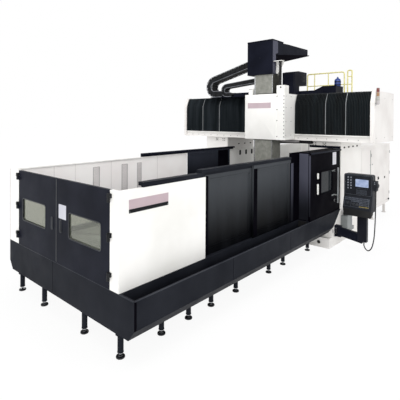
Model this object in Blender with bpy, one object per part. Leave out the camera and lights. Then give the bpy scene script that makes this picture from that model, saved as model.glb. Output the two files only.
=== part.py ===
"""Double-column vertical machining center with a long splash guard.

The bed runs along X and carries a work table between telescopic covers. Two columns stand beside
the bed and carry a cross beam. A saddle slides along the beam in Y, and its square ram slides in Z.
Bellows close the beam on both sides of the saddle, and cable chains feed the ram. Units are metres,
+Z is up, the operator stands on the -Y side, and the origin is on the floor in the middle of the bed.
"""
import math

import bmesh
import bpy
from mathutils import Vector
from mathutils.geometry import tessellate_polygon

# Clearances
SEAT = 0.0003
RUN = 0.005

# Splash guard and its floor plan
GUARD_FRONT = -5.10
GUARD_REAR = 5.10
GUARD_TOP = 1.90
NEAR_WALL = -1.69
FAR_WALL = 1.19
SHEET = 0.04
POST_NEAR = 0.165
POST_FAR = 0.32

# Chip tray
TRAY_NEAR = -1.965
TRAY_TOP = 0.755
TRAY_KNEE = 0.43
TRAY_FLOOR = 0.30
TRAY_TAPER = 0.10
TRAY_SHEET = 0.02
TRAY_LEDGE = 0.13
GUTTER_EDGE = 0.03

# Columns and beam
COLUMN_GAP = 2.40
COLUMN_WIDTH = 0.75
COLUMN_FRONT = 0.70
COLUMN_DEPTH = 1.30
COLUMN_KNEE_HIGH = 0.78
COLUMN_KNEE_LOW = 0.42
COLUMN_FOOT_FRONT = 0.10
COLUMN_FOOT_HIGH = 0.21
BEAM_LOW = 2.24
BEAM_STEP = 0.145
BEAM_LEDGE = BEAM_LOW + BEAM_STEP
BEAM_HIGH = 1.00
BEAM_TOP = BEAM_LOW + BEAM_HIGH
BEAM_REAR = COLUMN_FRONT + COLUMN_DEPTH - 0.05
BEAM_HALF = 2.61
BEAM_LIP = 0.56
BEAM_FACE = 0.96
END_COVER = 0.085

# Bed, table and way covers
BED_HALF = 0.70
BED_FOOT = 0.84
BED_TOP = 0.70
BED_LENGTH = 9.40
TABLE_HALF = 0.92
TABLE_LOW = 0.78
TABLE_TOP = 0.98
TABLE_LENGTH = 4.20
TABLE_MIDDLE = 0.33
COVER_PLATES = 6

# Saddle, ram and top cover
SADDLE_FRONT = 0.05
SADDLE_NEAR = -0.90
SADDLE_FAR = 0.175
SADDLE_LOW = BEAM_LOW + 0.01
SADDLE_TOP = BEAM_TOP + 0.08
RAM_FRONT = 0.11
RAM_DEPTH = 0.39
RAM_NEAR = -0.55
RAM_FAR = -0.05
RAM_LOW = 1.55
TOP_COVER_LOW = 3.79
TOP_COVER_HIGH = 4.59

# Doors of the operator side
PANEL_END = -3.614
SIDE_DOOR_TOP = 1.915
SIDE_DOOR_REAR_TOP = 1.955
DOOR_OVERLAP = 0.030
RAIL_INNER_TOP = 1.960
RAIL_OUTER_TOP = 2.008
SHOE = 0.06
SHOE_DROP = 0.006
PANEL_DEEP = 0.012
BAY_FRONT = -0.82
BAY_FACE = -1.905
BAY_TOP = 2.08
BAY_DOOR_HIGH = 2.035

# Electrical cabinet
CABINET_REAR = 4.53
CABINET_LOW = 0.33
CABINET_TOP = 2.04

# Control pendant
PIVOT_X = 0.43
PIVOT_Y = -COLUMN_GAP / 2 - COLUMN_WIDTH - 0.08
POST_X = 0.20
POST_Y = PIVOT_Y - 0.56
POST_LOW = 0.28
POST_TOP = 0.86
HEAD_NEAR = POST_Y - 0.21
HEAD_FAR = POST_Y + 0.34
HEAD_TOP = 1.63
CABLE_RADIUS = 0.011

COLOURS = {
    "white_paint": ((0.86, 0.86, 0.84), 0.45, 0.0),
    "charcoal_paint": ((0.065, 0.07, 0.08), 0.42, 0.0),
    "tray_paint": ((0.032, 0.036, 0.04), 0.5, 0.0),
    "bed_paint": ((0.6, 0.6, 0.58), 0.55, 0.0),
    "ground_steel": ((0.5, 0.5, 0.48), 0.35, 0.9),
    "sheet_steel": ((0.55, 0.55, 0.54), 0.3, 1.0),
    "ram_iron": ((0.33, 0.33, 0.3), 0.5, 0.3),
    "bellows_fabric": ((0.012, 0.015, 0.017), 0.75, 0.0),
    "cover_black": ((0.014, 0.015, 0.022), 0.45, 0.0),
    "chain_plastic": ((0.02, 0.02, 0.022), 0.5, 0.0),
    "rail_yellow": ((0.83, 0.72, 0.12), 0.45, 0.0),
    "glass": ((0.35, 0.4, 0.4), 0.08, 0.0),
    "accumulator_blue": ((0.02, 0.06, 0.3), 0.35, 0.0),
    "lamp_lens": ((0.6, 0.2, 0.08), 0.25, 0.0),
    "pump_grey": ((0.28, 0.3, 0.3), 0.5, 0.2),
    "cable_black": ((0.02, 0.02, 0.02), 0.6, 0.0),
    "bright_steel": ((0.75, 0.75, 0.75), 0.2, 1.0),
    "pendant_black": ((0.016, 0.017, 0.022), 0.6, 0.0),
}


def clear_scene():
    """Removes whatever the file holds before the machine is built."""
    for old in list(bpy.data.objects):
        bpy.data.objects.remove(old, do_unlink=True)


def paint(name):
    """Gives the shared Principled material of one finish."""
    found = bpy.data.materials.get(name)
    if found:
        return found
    colour, roughness, metallic = COLOURS[name]
    made = bpy.data.materials.new(name)
    made.use_nodes = True
    shader = made.node_tree.nodes["Principled BSDF"]
    shader.inputs["Base Color"].default_value = (*colour, 1.0)
    shader.inputs["Roughness"].default_value = roughness
    shader.inputs["Metallic"].default_value = metallic
    return made


def finish(name, mesh_data, finish_name, smooth=False):
    """Turns a bmesh into a named object with outward faces and its finish."""
    bmesh.ops.recalc_face_normals(mesh_data, faces=mesh_data.faces)
    mesh = bpy.data.meshes.new(name)
    mesh_data.to_mesh(mesh)
    mesh_data.free()
    mesh.materials.append(paint(finish_name))
    if smooth:
        mesh.shade_smooth()
        mesh.set_sharp_from_angle(angle=math.radians(35))
    made = bpy.data.objects.new(name, mesh)
    bpy.context.collection.objects.link(made)
    return made


def lift(point, along, level):
    """Places a 2-D outline point at a level along X, Y or Z."""
    a, b = point
    return {"x": (level, a, b), "y": (a, level, b), "z": (a, b, level)}[along]


def prism(name, finish_name, loops, along, low, high, smooth=False):
    """Extrudes an outline, with any holes as further loops, between two levels."""
    data = bmesh.new()
    flat = [point for loop in loops for point in loop]
    triangles = tessellate_polygon([[Vector((a, b, 0.0)) for a, b in loop] for loop in loops])
    sides = []
    for level in (low, high):
        sides.append([data.verts.new(lift(point, along, level)) for point in flat])
    for ring in sides:
        for triangle in triangles:
            data.faces.new([ring[i] for i in triangle])
    start = 0
    for loop in loops:
        count = len(loop)
        for i in range(count):
            j = (i + 1) % count
            lower, upper = sides
            quad = (lower[start + i], lower[start + j], upper[start + j], upper[start + i])
            data.faces.new(quad)
        start += count
    return finish(name, data, finish_name, smooth)


def rectangle(a0, a1, b0, b1):
    """Gives the four corners of a rectangle."""
    return [(a0, b0), (a1, b0), (a1, b1), (a0, b1)]


def round_rectangle(a0, a1, b0, b1, radius, steps=4):
    """Gives a rectangle whose corners are quarter circles."""
    points = []
    corners = ((a1 - radius, b0 + radius, -90), (a1 - radius, b1 - radius, 0),
               (a0 + radius, b1 - radius, 90), (a0 + radius, b0 + radius, 180))
    for ca, cb, start in corners:
        for i in range(steps + 1):
            angle = math.radians(start + 90 * i / steps)
            points.append((ca + radius * math.cos(angle), cb + radius * math.sin(angle)))
    return points


def circle(ca, cb, radius, sides=16):
    """Gives a circle as a polygon."""
    turn = 2 * math.pi / sides
    return [(ca + radius * math.cos(turn * i), cb + radius * math.sin(turn * i)) for i in range(sides)]


def block(name, finish_name, x, y, z):
    """Makes a plain block between two corners."""
    return prism(name, finish_name, [rectangle(*x, *y)], "z", *z)


def loft(name, finish_name, rings, smooth=False):
    """Joins rings of equal point count, one after the other, and caps both ends."""
    data = bmesh.new()
    made = [[data.verts.new(point) for point in ring] for ring in rings]
    count = len(rings[0])
    for first, second in zip(made, made[1:]):
        for i in range(count):
            j = (i + 1) % count
            data.faces.new((first[i], first[j], second[j], second[i]))
    data.faces.new(made[0])
    data.faces.new(made[-1])
    return finish(name, data, finish_name, smooth)


def combine(target, tool, operation):
    """Adds or cuts a helper solid with a Boolean modifier and hides the helper."""
    modifier = target.modifiers.new(f"{operation.lower()}_{tool.name}", "BOOLEAN")
    modifier.operation = operation
    modifier.solver = "EXACT"
    modifier.object = tool
    tool.hide_render = True
    tool.display_type = "WIRE"


def add(target, tool):
    """Fuses a helper solid with its piece."""
    combine(target, tool, "UNION")


def cut(target, tool):
    """Cuts a helper solid out of its piece."""
    combine(target, tool, "DIFFERENCE")


def recess(target, name, outline, along, face, depth):
    """Cuts a shallow recess of any outline into a face; a negative depth goes towards lower values."""
    low, high = sorted((face + depth, face - math.copysign(0.02, depth)))
    cut(target, prism(name, "white_paint", [outline], along, low, high))


def ring_at(x0, x1, y0, y1, z):
    """Gives one level of a rectangular tank."""
    return [(x0, y0, z), (x1, y0, z), (x1, y1, z), (x0, y1, z)]


def column_profile(grow=0.0):
    """Gives a column's side view in X and Z, with the sloped toe at its front."""
    front = COLUMN_FRONT - grow
    toe = COLUMN_FRONT - (COLUMN_KNEE_HIGH - COLUMN_KNEE_LOW) * 1.2 - grow
    foot = COLUMN_FOOT_FRONT - grow
    rear = COLUMN_FRONT + COLUMN_DEPTH
    top = BEAM_LOW - SEAT
    return [(foot, 0.0), (rear, 0.0), (rear, top), (front, top), (front, COLUMN_KNEE_HIGH + grow),
            (toe, COLUMN_KNEE_LOW + grow), (toe, COLUMN_FOOT_HIGH + grow), (foot, COLUMN_FOOT_HIGH + grow)]


def make_columns():
    """Makes both columns, each with a foot that reaches in to the bed."""
    inner = COLUMN_GAP / 2
    outer = inner + COLUMN_WIDTH
    for name, side in (("column_near", -1), ("column_far", 1)):
        low, high = sorted((side * inner, side * outer))
        column = prism(name, "white_paint", [column_profile()], "y", low, high)
        reach = sorted((side * (BED_FOOT + SEAT), side * (inner + 0.05)))
        foot = block(f"{name}_foot", "white_paint", (COLUMN_FRONT, COLUMN_FRONT + COLUMN_DEPTH), reach,
                     (0.0, COLUMN_FOOT_HIGH))
        add(column, foot)
        for i in range(4):
            x = COLUMN_FRONT + COLUMN_DEPTH * (0.16 + 0.21 * i)
            slot = round_rectangle(x - 0.055, x + 0.055, BEAM_LOW - 0.16, BEAM_LOW - 0.12, 0.018, 3)
            recess(column, f"{name}_slot_{i}", slot, "y", side * outer, -side * 0.03)
        for i in range(3):
            x = COLUMN_FRONT + COLUMN_DEPTH * (0.41 + 0.23 * i)
            hole = round_rectangle(x - 0.045, x + 0.045, BEAM_LOW - 0.53, BEAM_LOW - 0.39, 0.04, 3)
            recess(column, f"{name}_hole_{i}", hole, "y", side * inner, side * 0.05)
        toe = COLUMN_FRONT - (COLUMN_KNEE_HIGH - COLUMN_KNEE_LOW) * 1.2
        eye = round_rectangle(toe + 0.005, toe + 0.055, COLUMN_FOOT_HIGH + 0.08, COLUMN_FOOT_HIGH + 0.17, 0.022, 3)
        recess(column, f"{name}_eye", eye, "y", side * outer, -side * 0.04)
        foot_hole = circle(side * (outer - 0.235), COLUMN_FOOT_HIGH / 2, 0.04, 12)
        recess(column, f"{name}_foot_hole", foot_hole, "x", COLUMN_FOOT_FRONT, 0.05)


def make_beam():
    """Makes the cross beam with the ledge under the bellows and its two end covers."""
    rear = BEAM_REAR
    outline = [(BEAM_LIP, BEAM_LOW), (rear, BEAM_LOW), (rear, BEAM_TOP), (BEAM_FACE, BEAM_TOP),
               (BEAM_FACE, BEAM_LEDGE), (BEAM_LIP, BEAM_LEDGE)]
    beam = prism("cross_beam", "white_paint", [outline], "y", -BEAM_HALF, BEAM_HALF)
    bays = 4
    bay = 2 * BEAM_HALF / bays
    for i in range(bays):
        low = -BEAM_HALF + bay * i + 0.10
        window = round_rectangle(low, low + bay - 0.20, BEAM_LOW + 0.20, BEAM_TOP - 0.20, 0.06, 3)
        recess(beam, f"beam_bay_{i}", window, "x", rear, -0.06)
    for name, side in (("beam_cover_near", -1), ("beam_cover_far", 1)):
        low, high = sorted((side * (BEAM_HALF + SEAT), side * (BEAM_HALF + END_COVER)))
        outline = [(BEAM_LIP - 0.03, BEAM_LOW), (rear, BEAM_LOW), (rear, BEAM_TOP + 0.1),
                   (BEAM_LIP + 0.07, BEAM_TOP + 0.1), (BEAM_LIP - 0.03, BEAM_TOP - 0.15)]
        prism(name, "white_paint", [outline], "y", low, high)


def make_bellows(name, low, high):
    """Makes one pleated bellows as a loft whose section steps in and out along Y."""
    pitch = 0.04
    depth = 0.022
    count = max(2, round((high - low) / pitch))
    front = BEAM_LIP - 0.03
    back = BEAM_FACE - 0.03
    base = BEAM_LEDGE + SEAT
    knee = BEAM_TOP - 0.15
    top = BEAM_TOP + 0.09
    rings = []
    for i in range(2 * count + 1):
        y = low + (high - low) * i / (2 * count)
        inset = depth if i % 2 else 0.0
        rings.append([(back, y, base), (front + inset, y, base), (front + inset, y, knee),
                      (front + 0.10 + inset, y, top - inset), (back, y, top - inset)])
    return loft(name, "bellows_fabric", rings)


def make_bed():
    """Makes the bed casting, the table with its slots and the telescopic covers."""
    half = BED_LENGTH / 2
    outline = [(-BED_FOOT, 0.0), (BED_FOOT, 0.0), (BED_FOOT, 0.12), (BED_HALF, 0.24), (BED_HALF, BED_TOP),
               (-BED_HALF, BED_TOP), (-BED_HALF, 0.24), (-BED_FOOT, 0.12)]
    prism("bed", "bed_paint", [outline], "x", -half, half)
    slots = 7
    slot = 0.022
    deep = 0.05
    outline = [(-TABLE_HALF, TABLE_LOW), (TABLE_HALF, TABLE_LOW), (TABLE_HALF, TABLE_TOP)]
    for i in reversed(range(slots)):
        middle = (i - (slots - 1) / 2) * 2 * TABLE_HALF / slots
        outline += [(middle + slot / 2, TABLE_TOP), (middle + slot / 2, TABLE_TOP - deep),
                    (middle - slot / 2, TABLE_TOP - deep), (middle - slot / 2, TABLE_TOP)]
    outline += [(-TABLE_HALF, TABLE_TOP)]
    front = TABLE_MIDDLE - TABLE_LENGTH / 2
    rear = TABLE_MIDDLE + TABLE_LENGTH / 2
    table = prism("work_table", "ground_steel", [outline], "x", front, rear)
    keel = block("table_keel", "ground_steel", (front, rear), (-BED_HALF, BED_HALF),
                 (BED_TOP + SEAT, TABLE_LOW + 0.02))
    add(table, keel)
    make_way_cover("way_cover_front", front - SEAT, -half)
    make_way_cover("way_cover_rear", rear + SEAT, half)


def make_way_cover(name, near_table, far_end):
    """Makes a roof-shaped telescopic cover whose plates step down away from the table."""
    rings = []
    step = (far_end - near_table) / COVER_PLATES
    for i in range(COVER_PLATES):
        shrink = 0.012 * i
        half = TABLE_HALF - 0.04 - shrink
        eave = TABLE_LOW + 0.02 - shrink
        ridge = TABLE_TOP - 0.05 - shrink
        low = BED_TOP + SEAT
        for x in (near_table + step * i, near_table + step * (i + 1)):
            rings.append([(x, -half, low), (x, half, low), (x, half, eave), (x, 0.0, ridge), (x, -half, eave)])
    return loft(name, "sheet_steel", rings)


def tray(name, x0, x1, near, far, closed_front, closed_rear):
    """Makes a trough with tapered long sides, a floor around the bed and an inward top ledge."""
    levels = ((TRAY_FLOOR, TRAY_TAPER), (TRAY_KNEE, 0.0), (TRAY_TOP, 0.0))
    outer = []
    inner = []
    for z, inset in levels:
        outer.append(ring_at(x0, x1, near + inset, far - inset, z))
    wall = TRAY_SHEET
    front = wall if closed_front else -0.1
    rear = wall if closed_rear else -0.1
    for z, inset in ((TRAY_FLOOR + wall, TRAY_TAPER * 0.9), (TRAY_KNEE, 0.0), (TRAY_TOP - wall, 0.0)):
        inner.append(ring_at(x0 + front, x1 - rear, near + inset + wall, far - inset - wall, z))
    body = loft(name, "tray_paint", outer)
    cut(body, loft(f"{name}_hollow", "tray_paint", inner))
    ledge_front = TRAY_LEDGE if closed_front else -0.1
    ledge_rear = TRAY_LEDGE if closed_rear else -0.1
    mouth = block(f"{name}_mouth", "tray_paint", (x0 + ledge_front, x1 - ledge_rear),
                  (near + TRAY_LEDGE + NEAR_LEDGE[name], far - TRAY_LEDGE), (TRAY_TOP - 0.1, TRAY_TOP + 0.1))
    cut(body, mouth)
    foot = BED_FOOT + SEAT
    slot = block(f"{name}_bed_slot", "tray_paint", (-BED_LENGTH / 2 - SEAT, BED_LENGTH / 2 + SEAT),
                 (-foot, foot), (TRAY_FLOOR - 0.1, TRAY_FLOOR + 0.1))
    cut(body, slot)
    return body


NEAR_LEDGE = {"tray_front": NEAR_WALL - TRAY_NEAR, "tray_rear": 0.0}


def make_trays():
    """Makes the long front tray, with its open gutter and cut along the column's toe, and the rear tray."""
    rear_side = FAR_WALL
    front = tray("tray_front", GUARD_FRONT, COLUMN_FRONT - RUN, TRAY_NEAR, FAR_WALL, True, False)
    low = -COLUMN_GAP / 2 - COLUMN_WIDTH - 0.25
    cut(front, prism("tray_toe", "tray_paint", [column_profile(0.003)], "y", low, -COLUMN_GAP / 2 + 0.003))
    gutter = block("tray_gutter", "tray_paint", (GUARD_FRONT + GUTTER_EDGE, BAY_FRONT - TRAY_SHEET),
                   (TRAY_NEAR + GUTTER_EDGE, NEAR_WALL - TRAY_SHEET), (TRAY_TOP - 0.1, TRAY_TOP + 0.1))
    cut(front, gutter)
    plate = block("tray_gutter_wall", "tray_paint", (GUARD_FRONT + TRAY_SHEET / 2, BAY_FRONT),
                  (NEAR_WALL - TRAY_SHEET, NEAR_WALL), (TRAY_FLOOR + TRAY_SHEET / 2, TRAY_TOP - TRAY_SHEET / 2))
    add(front, plate)
    tray("tray_rear", COLUMN_FRONT + SEAT, GUARD_REAR, -rear_side, FAR_WALL, False, True)


def legs(name, xs, y, low_beam, high_beam, cross):
    """Makes a row of levelling legs joined by the square tube that they carry, and one more on a cross tube."""
    tube = block(name, "tray_paint", (min(xs) - 0.05, max(xs) + 0.05), (y - 0.03, y + 0.03),
                 (low_beam, high_beam))
    arm_y = sorted((y, cross[1] + math.copysign(0.05, cross[1] - y)))
    arm = block(f"{name}_cross", "tray_paint", (cross[0] - 0.03, cross[0] + 0.03), arm_y, (low_beam, high_beam))
    add(tube, arm)
    for i, (a, b) in enumerate([(x, y) for x in xs] + [cross]):
        stem = prism(f"{name}_stem_{i}", "tray_paint", [circle(a, b, 0.035, 12)], "z", 0.06,
                     low_beam + 0.02)
        add(tube, stem)
        stud = prism(f"{name}_stud_{i}", "tray_paint", [circle(a, b, 0.014, 8)], "z", 0.015, 0.07)
        add(tube, stud)
        pad = prism(f"{name}_pad_{i}", "tray_paint", [circle(a, b, 0.05, 16)], "z", 0.0, 0.02)
        add(tube, pad)
    return tube


def make_legs():
    """Makes the rows of levelling legs under both trays."""
    high = TRAY_FLOOR - SEAT
    low = high - 0.04
    near = (GUARD_FRONT + 0.07, -4.40, -3.90, -3.42, -2.81, -1.82, -1.31, -0.28)
    legs("legs_front_near", near, NEAR_WALL + 0.05, low, high, (near[0], -BED_FOOT - 0.055))
    legs("legs_front_far", near, BED_FOOT + 0.05, low, high, (near[0], 0.165))
    rear = (2.30, 2.95, 3.60, 4.25, 4.92)
    legs("legs_rear_near", rear, -BED_FOOT - 0.16, low, high, (rear[-1], -0.33))
    legs("legs_rear_far", rear, BED_FOOT + 0.16, low, high, (rear[-1], 0.33))


def leaf_outline(a0, a1, low, high, foot, drop):
    """Gives a door leaf that stands on two short shoes."""
    return [(a0, low - drop), (a0 + foot, low - drop), (a0 + foot, low), (a1 - foot, low),
            (a1 - foot, low - drop), (a1, low - drop), (a1, high), (a0, high)]


def make_near_side():
    """Makes the operator side: the white panel and two sliding doors under their rails."""
    base = TRAY_TOP + SEAT
    block("side_panel_near", "white_paint", (GUARD_FRONT + SHEET + SEAT, PANEL_END),
          (NEAR_WALL, NEAR_WALL + SHEET), (base, GUARD_TOP))
    inner = NEAR_WALL + SHEET + RUN
    outer = NEAR_WALL - RUN
    low = base + SHOE_DROP
    front = leaf_outline(PANEL_END + 0.014, -2.370, low, SIDE_DOOR_TOP - SEAT, SHOE, SHOE_DROP)
    leaf = prism("side_door_front", "charcoal_paint", [front], "y", inner, inner + SHEET)
    panel = rectangle(PANEL_END + 0.064, -2.440, low + 0.08, SIDE_DOOR_TOP - 0.06)
    recess(leaf, "side_door_front_panel", panel, "y", inner, PANEL_DEEP)
    rear = leaf_outline(-2.370 - DOOR_OVERLAP, -1.130, low, SIDE_DOOR_REAR_TOP, SHOE, SHOE_DROP)
    leaf = prism("side_door_rear", "charcoal_paint", [rear], "y", outer, outer + SHEET)
    panel = rectangle(-2.290, -1.220, low + 0.08, SIDE_DOOR_REAR_TOP - 0.06)
    recess(leaf, "side_door_rear_panel", panel, "y", outer, PANEL_DEEP)
    end = BAY_FRONT - 0.30 - SEAT
    track = [(NEAR_WALL, GUARD_TOP + SEAT), (inner - RUN, GUARD_TOP + SEAT), (inner - RUN, SIDE_DOOR_TOP),
             (inner + SHEET + 0.01, SIDE_DOOR_TOP), (inner + SHEET + 0.01, RAIL_INNER_TOP),
             (NEAR_WALL, RAIL_INNER_TOP)]
    rail = prism("door_rail_inner", "charcoal_paint", [track], "x", -4.746, end)
    room = block("door_rail_room", "charcoal_paint", (PANEL_END - 0.012, end + 0.1),
                 (NEAR_WALL - 0.1, NEAR_WALL + SHEET + 0.001), (GUARD_TOP - 0.1, RAIL_INNER_TOP + 0.1))
    cut(rail, room)
    block("door_rail_outer", "charcoal_paint", (-3.70, end), (outer - 0.005, inner + SHEET + 0.01),
          (RAIL_INNER_TOP + SEAT, RAIL_OUTER_TOP))


def make_operator_bay():
    """Makes the bay that stands out at the operator's door, with its sliding leaf and window."""
    base = TRAY_TOP + SEAT
    wall = 0.03
    start = BAY_FRONT - 0.30
    outline = [(start, NEAR_WALL), (BAY_FRONT, NEAR_WALL), (BAY_FRONT, BAY_FACE), (BAY_FRONT + wall, BAY_FACE),
               (BAY_FRONT + wall, NEAR_WALL + SHEET), (start, NEAR_WALL + SHEET)]
    bay = prism("bay_panel", "charcoal_paint", [outline], "z", base, BAY_TOP)
    face = BAY_FACE - RUN
    roof = block("bay_roof", "charcoal_paint", (BAY_FRONT, COLUMN_FRONT - SEAT),
                 (face - SHEET - RUN, NEAR_WALL + SHEET), (BAY_DOOR_HIGH + RUN, BAY_TOP))
    add(bay, roof)
    low = base + SHOE_DROP
    x0 = BAY_FRONT + 0.005
    x1 = COLUMN_FRONT - 0.05
    window = (-0.35, 0.23, 1.22, 1.67)
    hole = round_rectangle(*window, 0.03)
    leaf = leaf_outline(x0, x1, low, BAY_DOOR_HIGH, SHOE, SHOE_DROP)
    door = prism("operator_door", "charcoal_paint", [leaf, hole], "y", face - SHEET, face)
    pane = round_rectangle(window[0] + SEAT, window[1] - SEAT, window[2] + SEAT, window[3] - SEAT, 0.03)
    prism("operator_door_pane", "glass", [pane], "y", face - 0.026, face - 0.018)
    bar_y = face - SHEET - 0.08
    bar = prism("operator_door_bar", "charcoal_paint", [circle(0.33, bar_y, 0.016, 12)], "z", 0.955, 1.70)
    add(door, bar)
    for i, z in enumerate((1.00, 1.64)):
        stand = prism(f"operator_door_stand_{i}", "charcoal_paint", [circle(0.33, z, 0.012, 10)], "y",
                      bar_y, face - SHEET + 0.01)
        add(door, stand)
    for i, (z0, z1) in enumerate(((1.222, 1.447), (1.554, 1.68))):
        pull = block(f"operator_door_pull_{i}", "charcoal_paint", (-0.47, -0.43),
                     (face - SHEET - 0.012, face - SHEET + 0.01), (z0, z1))
        add(door, pull)


def make_end_doors():
    """Makes the pair of hinged doors at the near end and the posts beside them."""
    base = TRAY_TOP + SEAT
    face = GUARD_FRONT
    hinge = face - 0.022
    near_post_y = (NEAR_WALL, NEAR_WALL + POST_NEAR)
    far_post_y = (FAR_WALL - POST_FAR, FAR_WALL)
    near_post = block("corner_post_near", "white_paint", (face, face + SHEET), near_post_y, (base, GUARD_TOP))
    far_post = block("corner_post_far", "white_paint", (face, face + SHEET), far_post_y, (base, GUARD_TOP))
    meet = -0.301
    gap = 0.003
    windows = {"end_door_right": (-1.35, -0.625), "end_door_left": (0.002, 0.725)}
    half = RUN / 2
    leaves = (("end_door_right", near_post_y[1] + RUN, meet - gap, near_post, near_post_y[1] + half, 1),
              ("end_door_left", meet + gap, far_post_y[0] - RUN, far_post, far_post_y[0] - half, -1))
    for name, y0, y1, post, hinge_y, way in leaves:
        window = windows[name]
        hole = round_rectangle(*window, 1.155, 1.485, 0.04)
        leaf = prism(name, "charcoal_paint", [rectangle(y0, y1, base + RUN, GUARD_TOP), hole], "x",
                     face, face + SHEET)
        pane = round_rectangle(window[0] + SEAT, window[1] - SEAT, 1.155 + SEAT, 1.485 - SEAT, 0.04)
        prism(f"{name}_pane", "glass", [pane], "x", face + 0.015, face + 0.023)
        for i, z in enumerate((0.86, 1.31, 1.76)):
            for owner, turn, z0, z1 in ((leaf, way, z, z + 0.05), (post, -way, z + 0.05 + SEAT, z + 0.10)):
                knuckle = prism(f"{name}_knuckle_{i}{turn}", "charcoal_paint", [circle(hinge, hinge_y, 0.015, 12)],
                                "z", z0, z1)
                tab_y = sorted((hinge_y + turn * 0.004, hinge_y + turn * 0.04))
                tab = block(f"{name}_tab_{i}{turn}", "charcoal_paint", (hinge - 0.006, face + 0.001), tab_y, (z0, z1))
                add(owner, knuckle)
                add(owner, tab)


def make_far_side():
    """Makes the far guard wall with its sliding door and rail, then the guard behind the columns."""
    base = TRAY_TOP + SEAT
    split = -0.99
    inner = FAR_WALL - SHEET
    block("far_wall_front", "white_paint", (GUARD_FRONT + SHEET + SEAT, split), (inner, FAR_WALL),
          (base, GUARD_TOP))
    low = base + SHOE_DROP
    outline = leaf_outline(split + 0.01, COLUMN_FRONT - 0.02, low, 1.93, SHOE, SHOE_DROP)
    far_leaf = prism("far_door", "charcoal_paint", [outline], "y", inner - RUN - SHEET, inner - RUN)
    panel = rectangle(split + 0.08, COLUMN_FRONT - 0.09, low + 0.08, 1.87)
    recess(far_leaf, "far_door_panel", panel, "y", inner - RUN - SHEET, PANEL_DEEP)
    track = [(inner - RUN - SHEET - 0.01, 1.935), (inner, 1.935), (inner, GUARD_TOP + SEAT),
             (FAR_WALL, GUARD_TOP + SEAT), (FAR_WALL, 1.976), (inner - RUN - SHEET - 0.01, 1.976)]
    prism("far_rail", "charcoal_paint", [track], "x", -2.40, COLUMN_FRONT + 0.20)
    start = COLUMN_FRONT + SEAT
    face = GUARD_REAR - SHEET
    post = FAR_WALL - POST_FAR
    for name, side in (("rear_guard_near", -1), ("rear_guard_far", 1)):
        outline = [(start, side * inner), (face, side * inner), (face, side * post), (GUARD_REAR, side * post),
                   (GUARD_REAR, side * FAR_WALL), (start, side * FAR_WALL)]
        prism(name, "white_paint", [outline], "z", base, GUARD_TOP)
    leaf = [(face, -post + SEAT), (GUARD_REAR, -post + SEAT), (GUARD_REAR, -0.003), (GUARD_REAR - 0.01, 0.0),
            (GUARD_REAR, 0.003), (GUARD_REAR, post - SEAT), (face, post - SEAT)]
    prism("rear_doors", "charcoal_paint", [leaf], "z", base, GUARD_TOP)


def make_saddle():
    """Makes the saddle around the ram, the ram with its spindle nose, and the motor cover on top."""
    pocket = rectangle(RAM_FRONT - RUN, RAM_FRONT + RAM_DEPTH + RUN, RAM_NEAR - RUN, RAM_FAR + RUN)
    shell = rectangle(SADDLE_FRONT, BEAM_LIP - 0.02, SADDLE_NEAR, SADDLE_FAR)
    saddle = prism("saddle", "white_paint", [shell, pocket], "z", SADDLE_LOW, SADDLE_TOP)
    back = block("saddle_back", "white_paint", (BEAM_LIP - 0.03, BEAM_FACE - SEAT), (SADDLE_NEAR, SADDLE_FAR),
                 (BEAM_LEDGE + SEAT, SADDLE_TOP))
    add(saddle, back)
    flange = rectangle(SADDLE_NEAR - 0.02, SADDLE_NEAR + 0.215, SADDLE_LOW - 0.02, SADDLE_TOP + 0.02)
    recess(saddle, "saddle_flange", flange, "x", SADDLE_FRONT, 0.012)
    for i, (x0, x1, y0, y1, high) in enumerate(((0.06, 0.26, SADDLE_NEAR + 0.005, SADDLE_NEAR + 0.21, 0.19),
                                                (0.16, 0.24, RAM_FAR + 0.03, RAM_FAR + 0.15, 0.17))):
        lug = block(f"saddle_lug_{i}", "white_paint", (x0, x1), (y0, y1), (SADDLE_TOP - 0.05, SADDLE_TOP + high))
        add(saddle, lug)
    middle_x = RAM_FRONT + RAM_DEPTH / 2
    middle_y = (RAM_NEAR + RAM_FAR) / 2
    ram = block("ram", "ram_iron", (RAM_FRONT, RAM_FRONT + RAM_DEPTH), (RAM_NEAR, RAM_FAR),
                (RAM_LOW, TOP_COVER_LOW + 0.30))
    nose = prism("spindle_nose", "bright_steel", [circle(middle_x, middle_y, 0.11, 32)], "z", RAM_LOW - 0.16,
                 RAM_LOW - SEAT, smooth=True)
    cover_x = (RAM_FRONT - 0.05, RAM_FRONT + RAM_DEPTH + 0.06)
    cover_y = (RAM_NEAR - 0.03, RAM_FAR + 0.17)
    cover = block("ram_cover", "cover_black", cover_x, cover_y, (TOP_COVER_LOW, TOP_COVER_HIGH))
    hollow = block("ram_cover_hollow", "cover_black", (RAM_FRONT - SEAT, RAM_FRONT + RAM_DEPTH + SEAT),
                   (RAM_NEAR - SEAT, RAM_FAR + SEAT), (TOP_COVER_LOW - 0.1, TOP_COVER_LOW + 0.30 + SEAT))
    cut(cover, hollow)
    arm_outline = [(0.50, 4.11), (1.98, 4.45), (1.98, 4.62), (0.90, 4.60), (0.50, 4.58)]
    arm = prism("ram_cover_arm", "cover_black", [arm_outline], "y", RAM_NEAR + 0.02, RAM_FAR - 0.05)
    add(cover, arm)
    step = block("ram_cover_step", "cover_black", (RAM_FRONT + 0.20, cover_x[1] + 0.1), (cover_y[0] - 0.1, RAM_FAR + SEAT),
                 (TOP_COVER_LOW - 0.1, TOP_COVER_LOW + 0.30 + SEAT))
    cut(cover, step)


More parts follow.
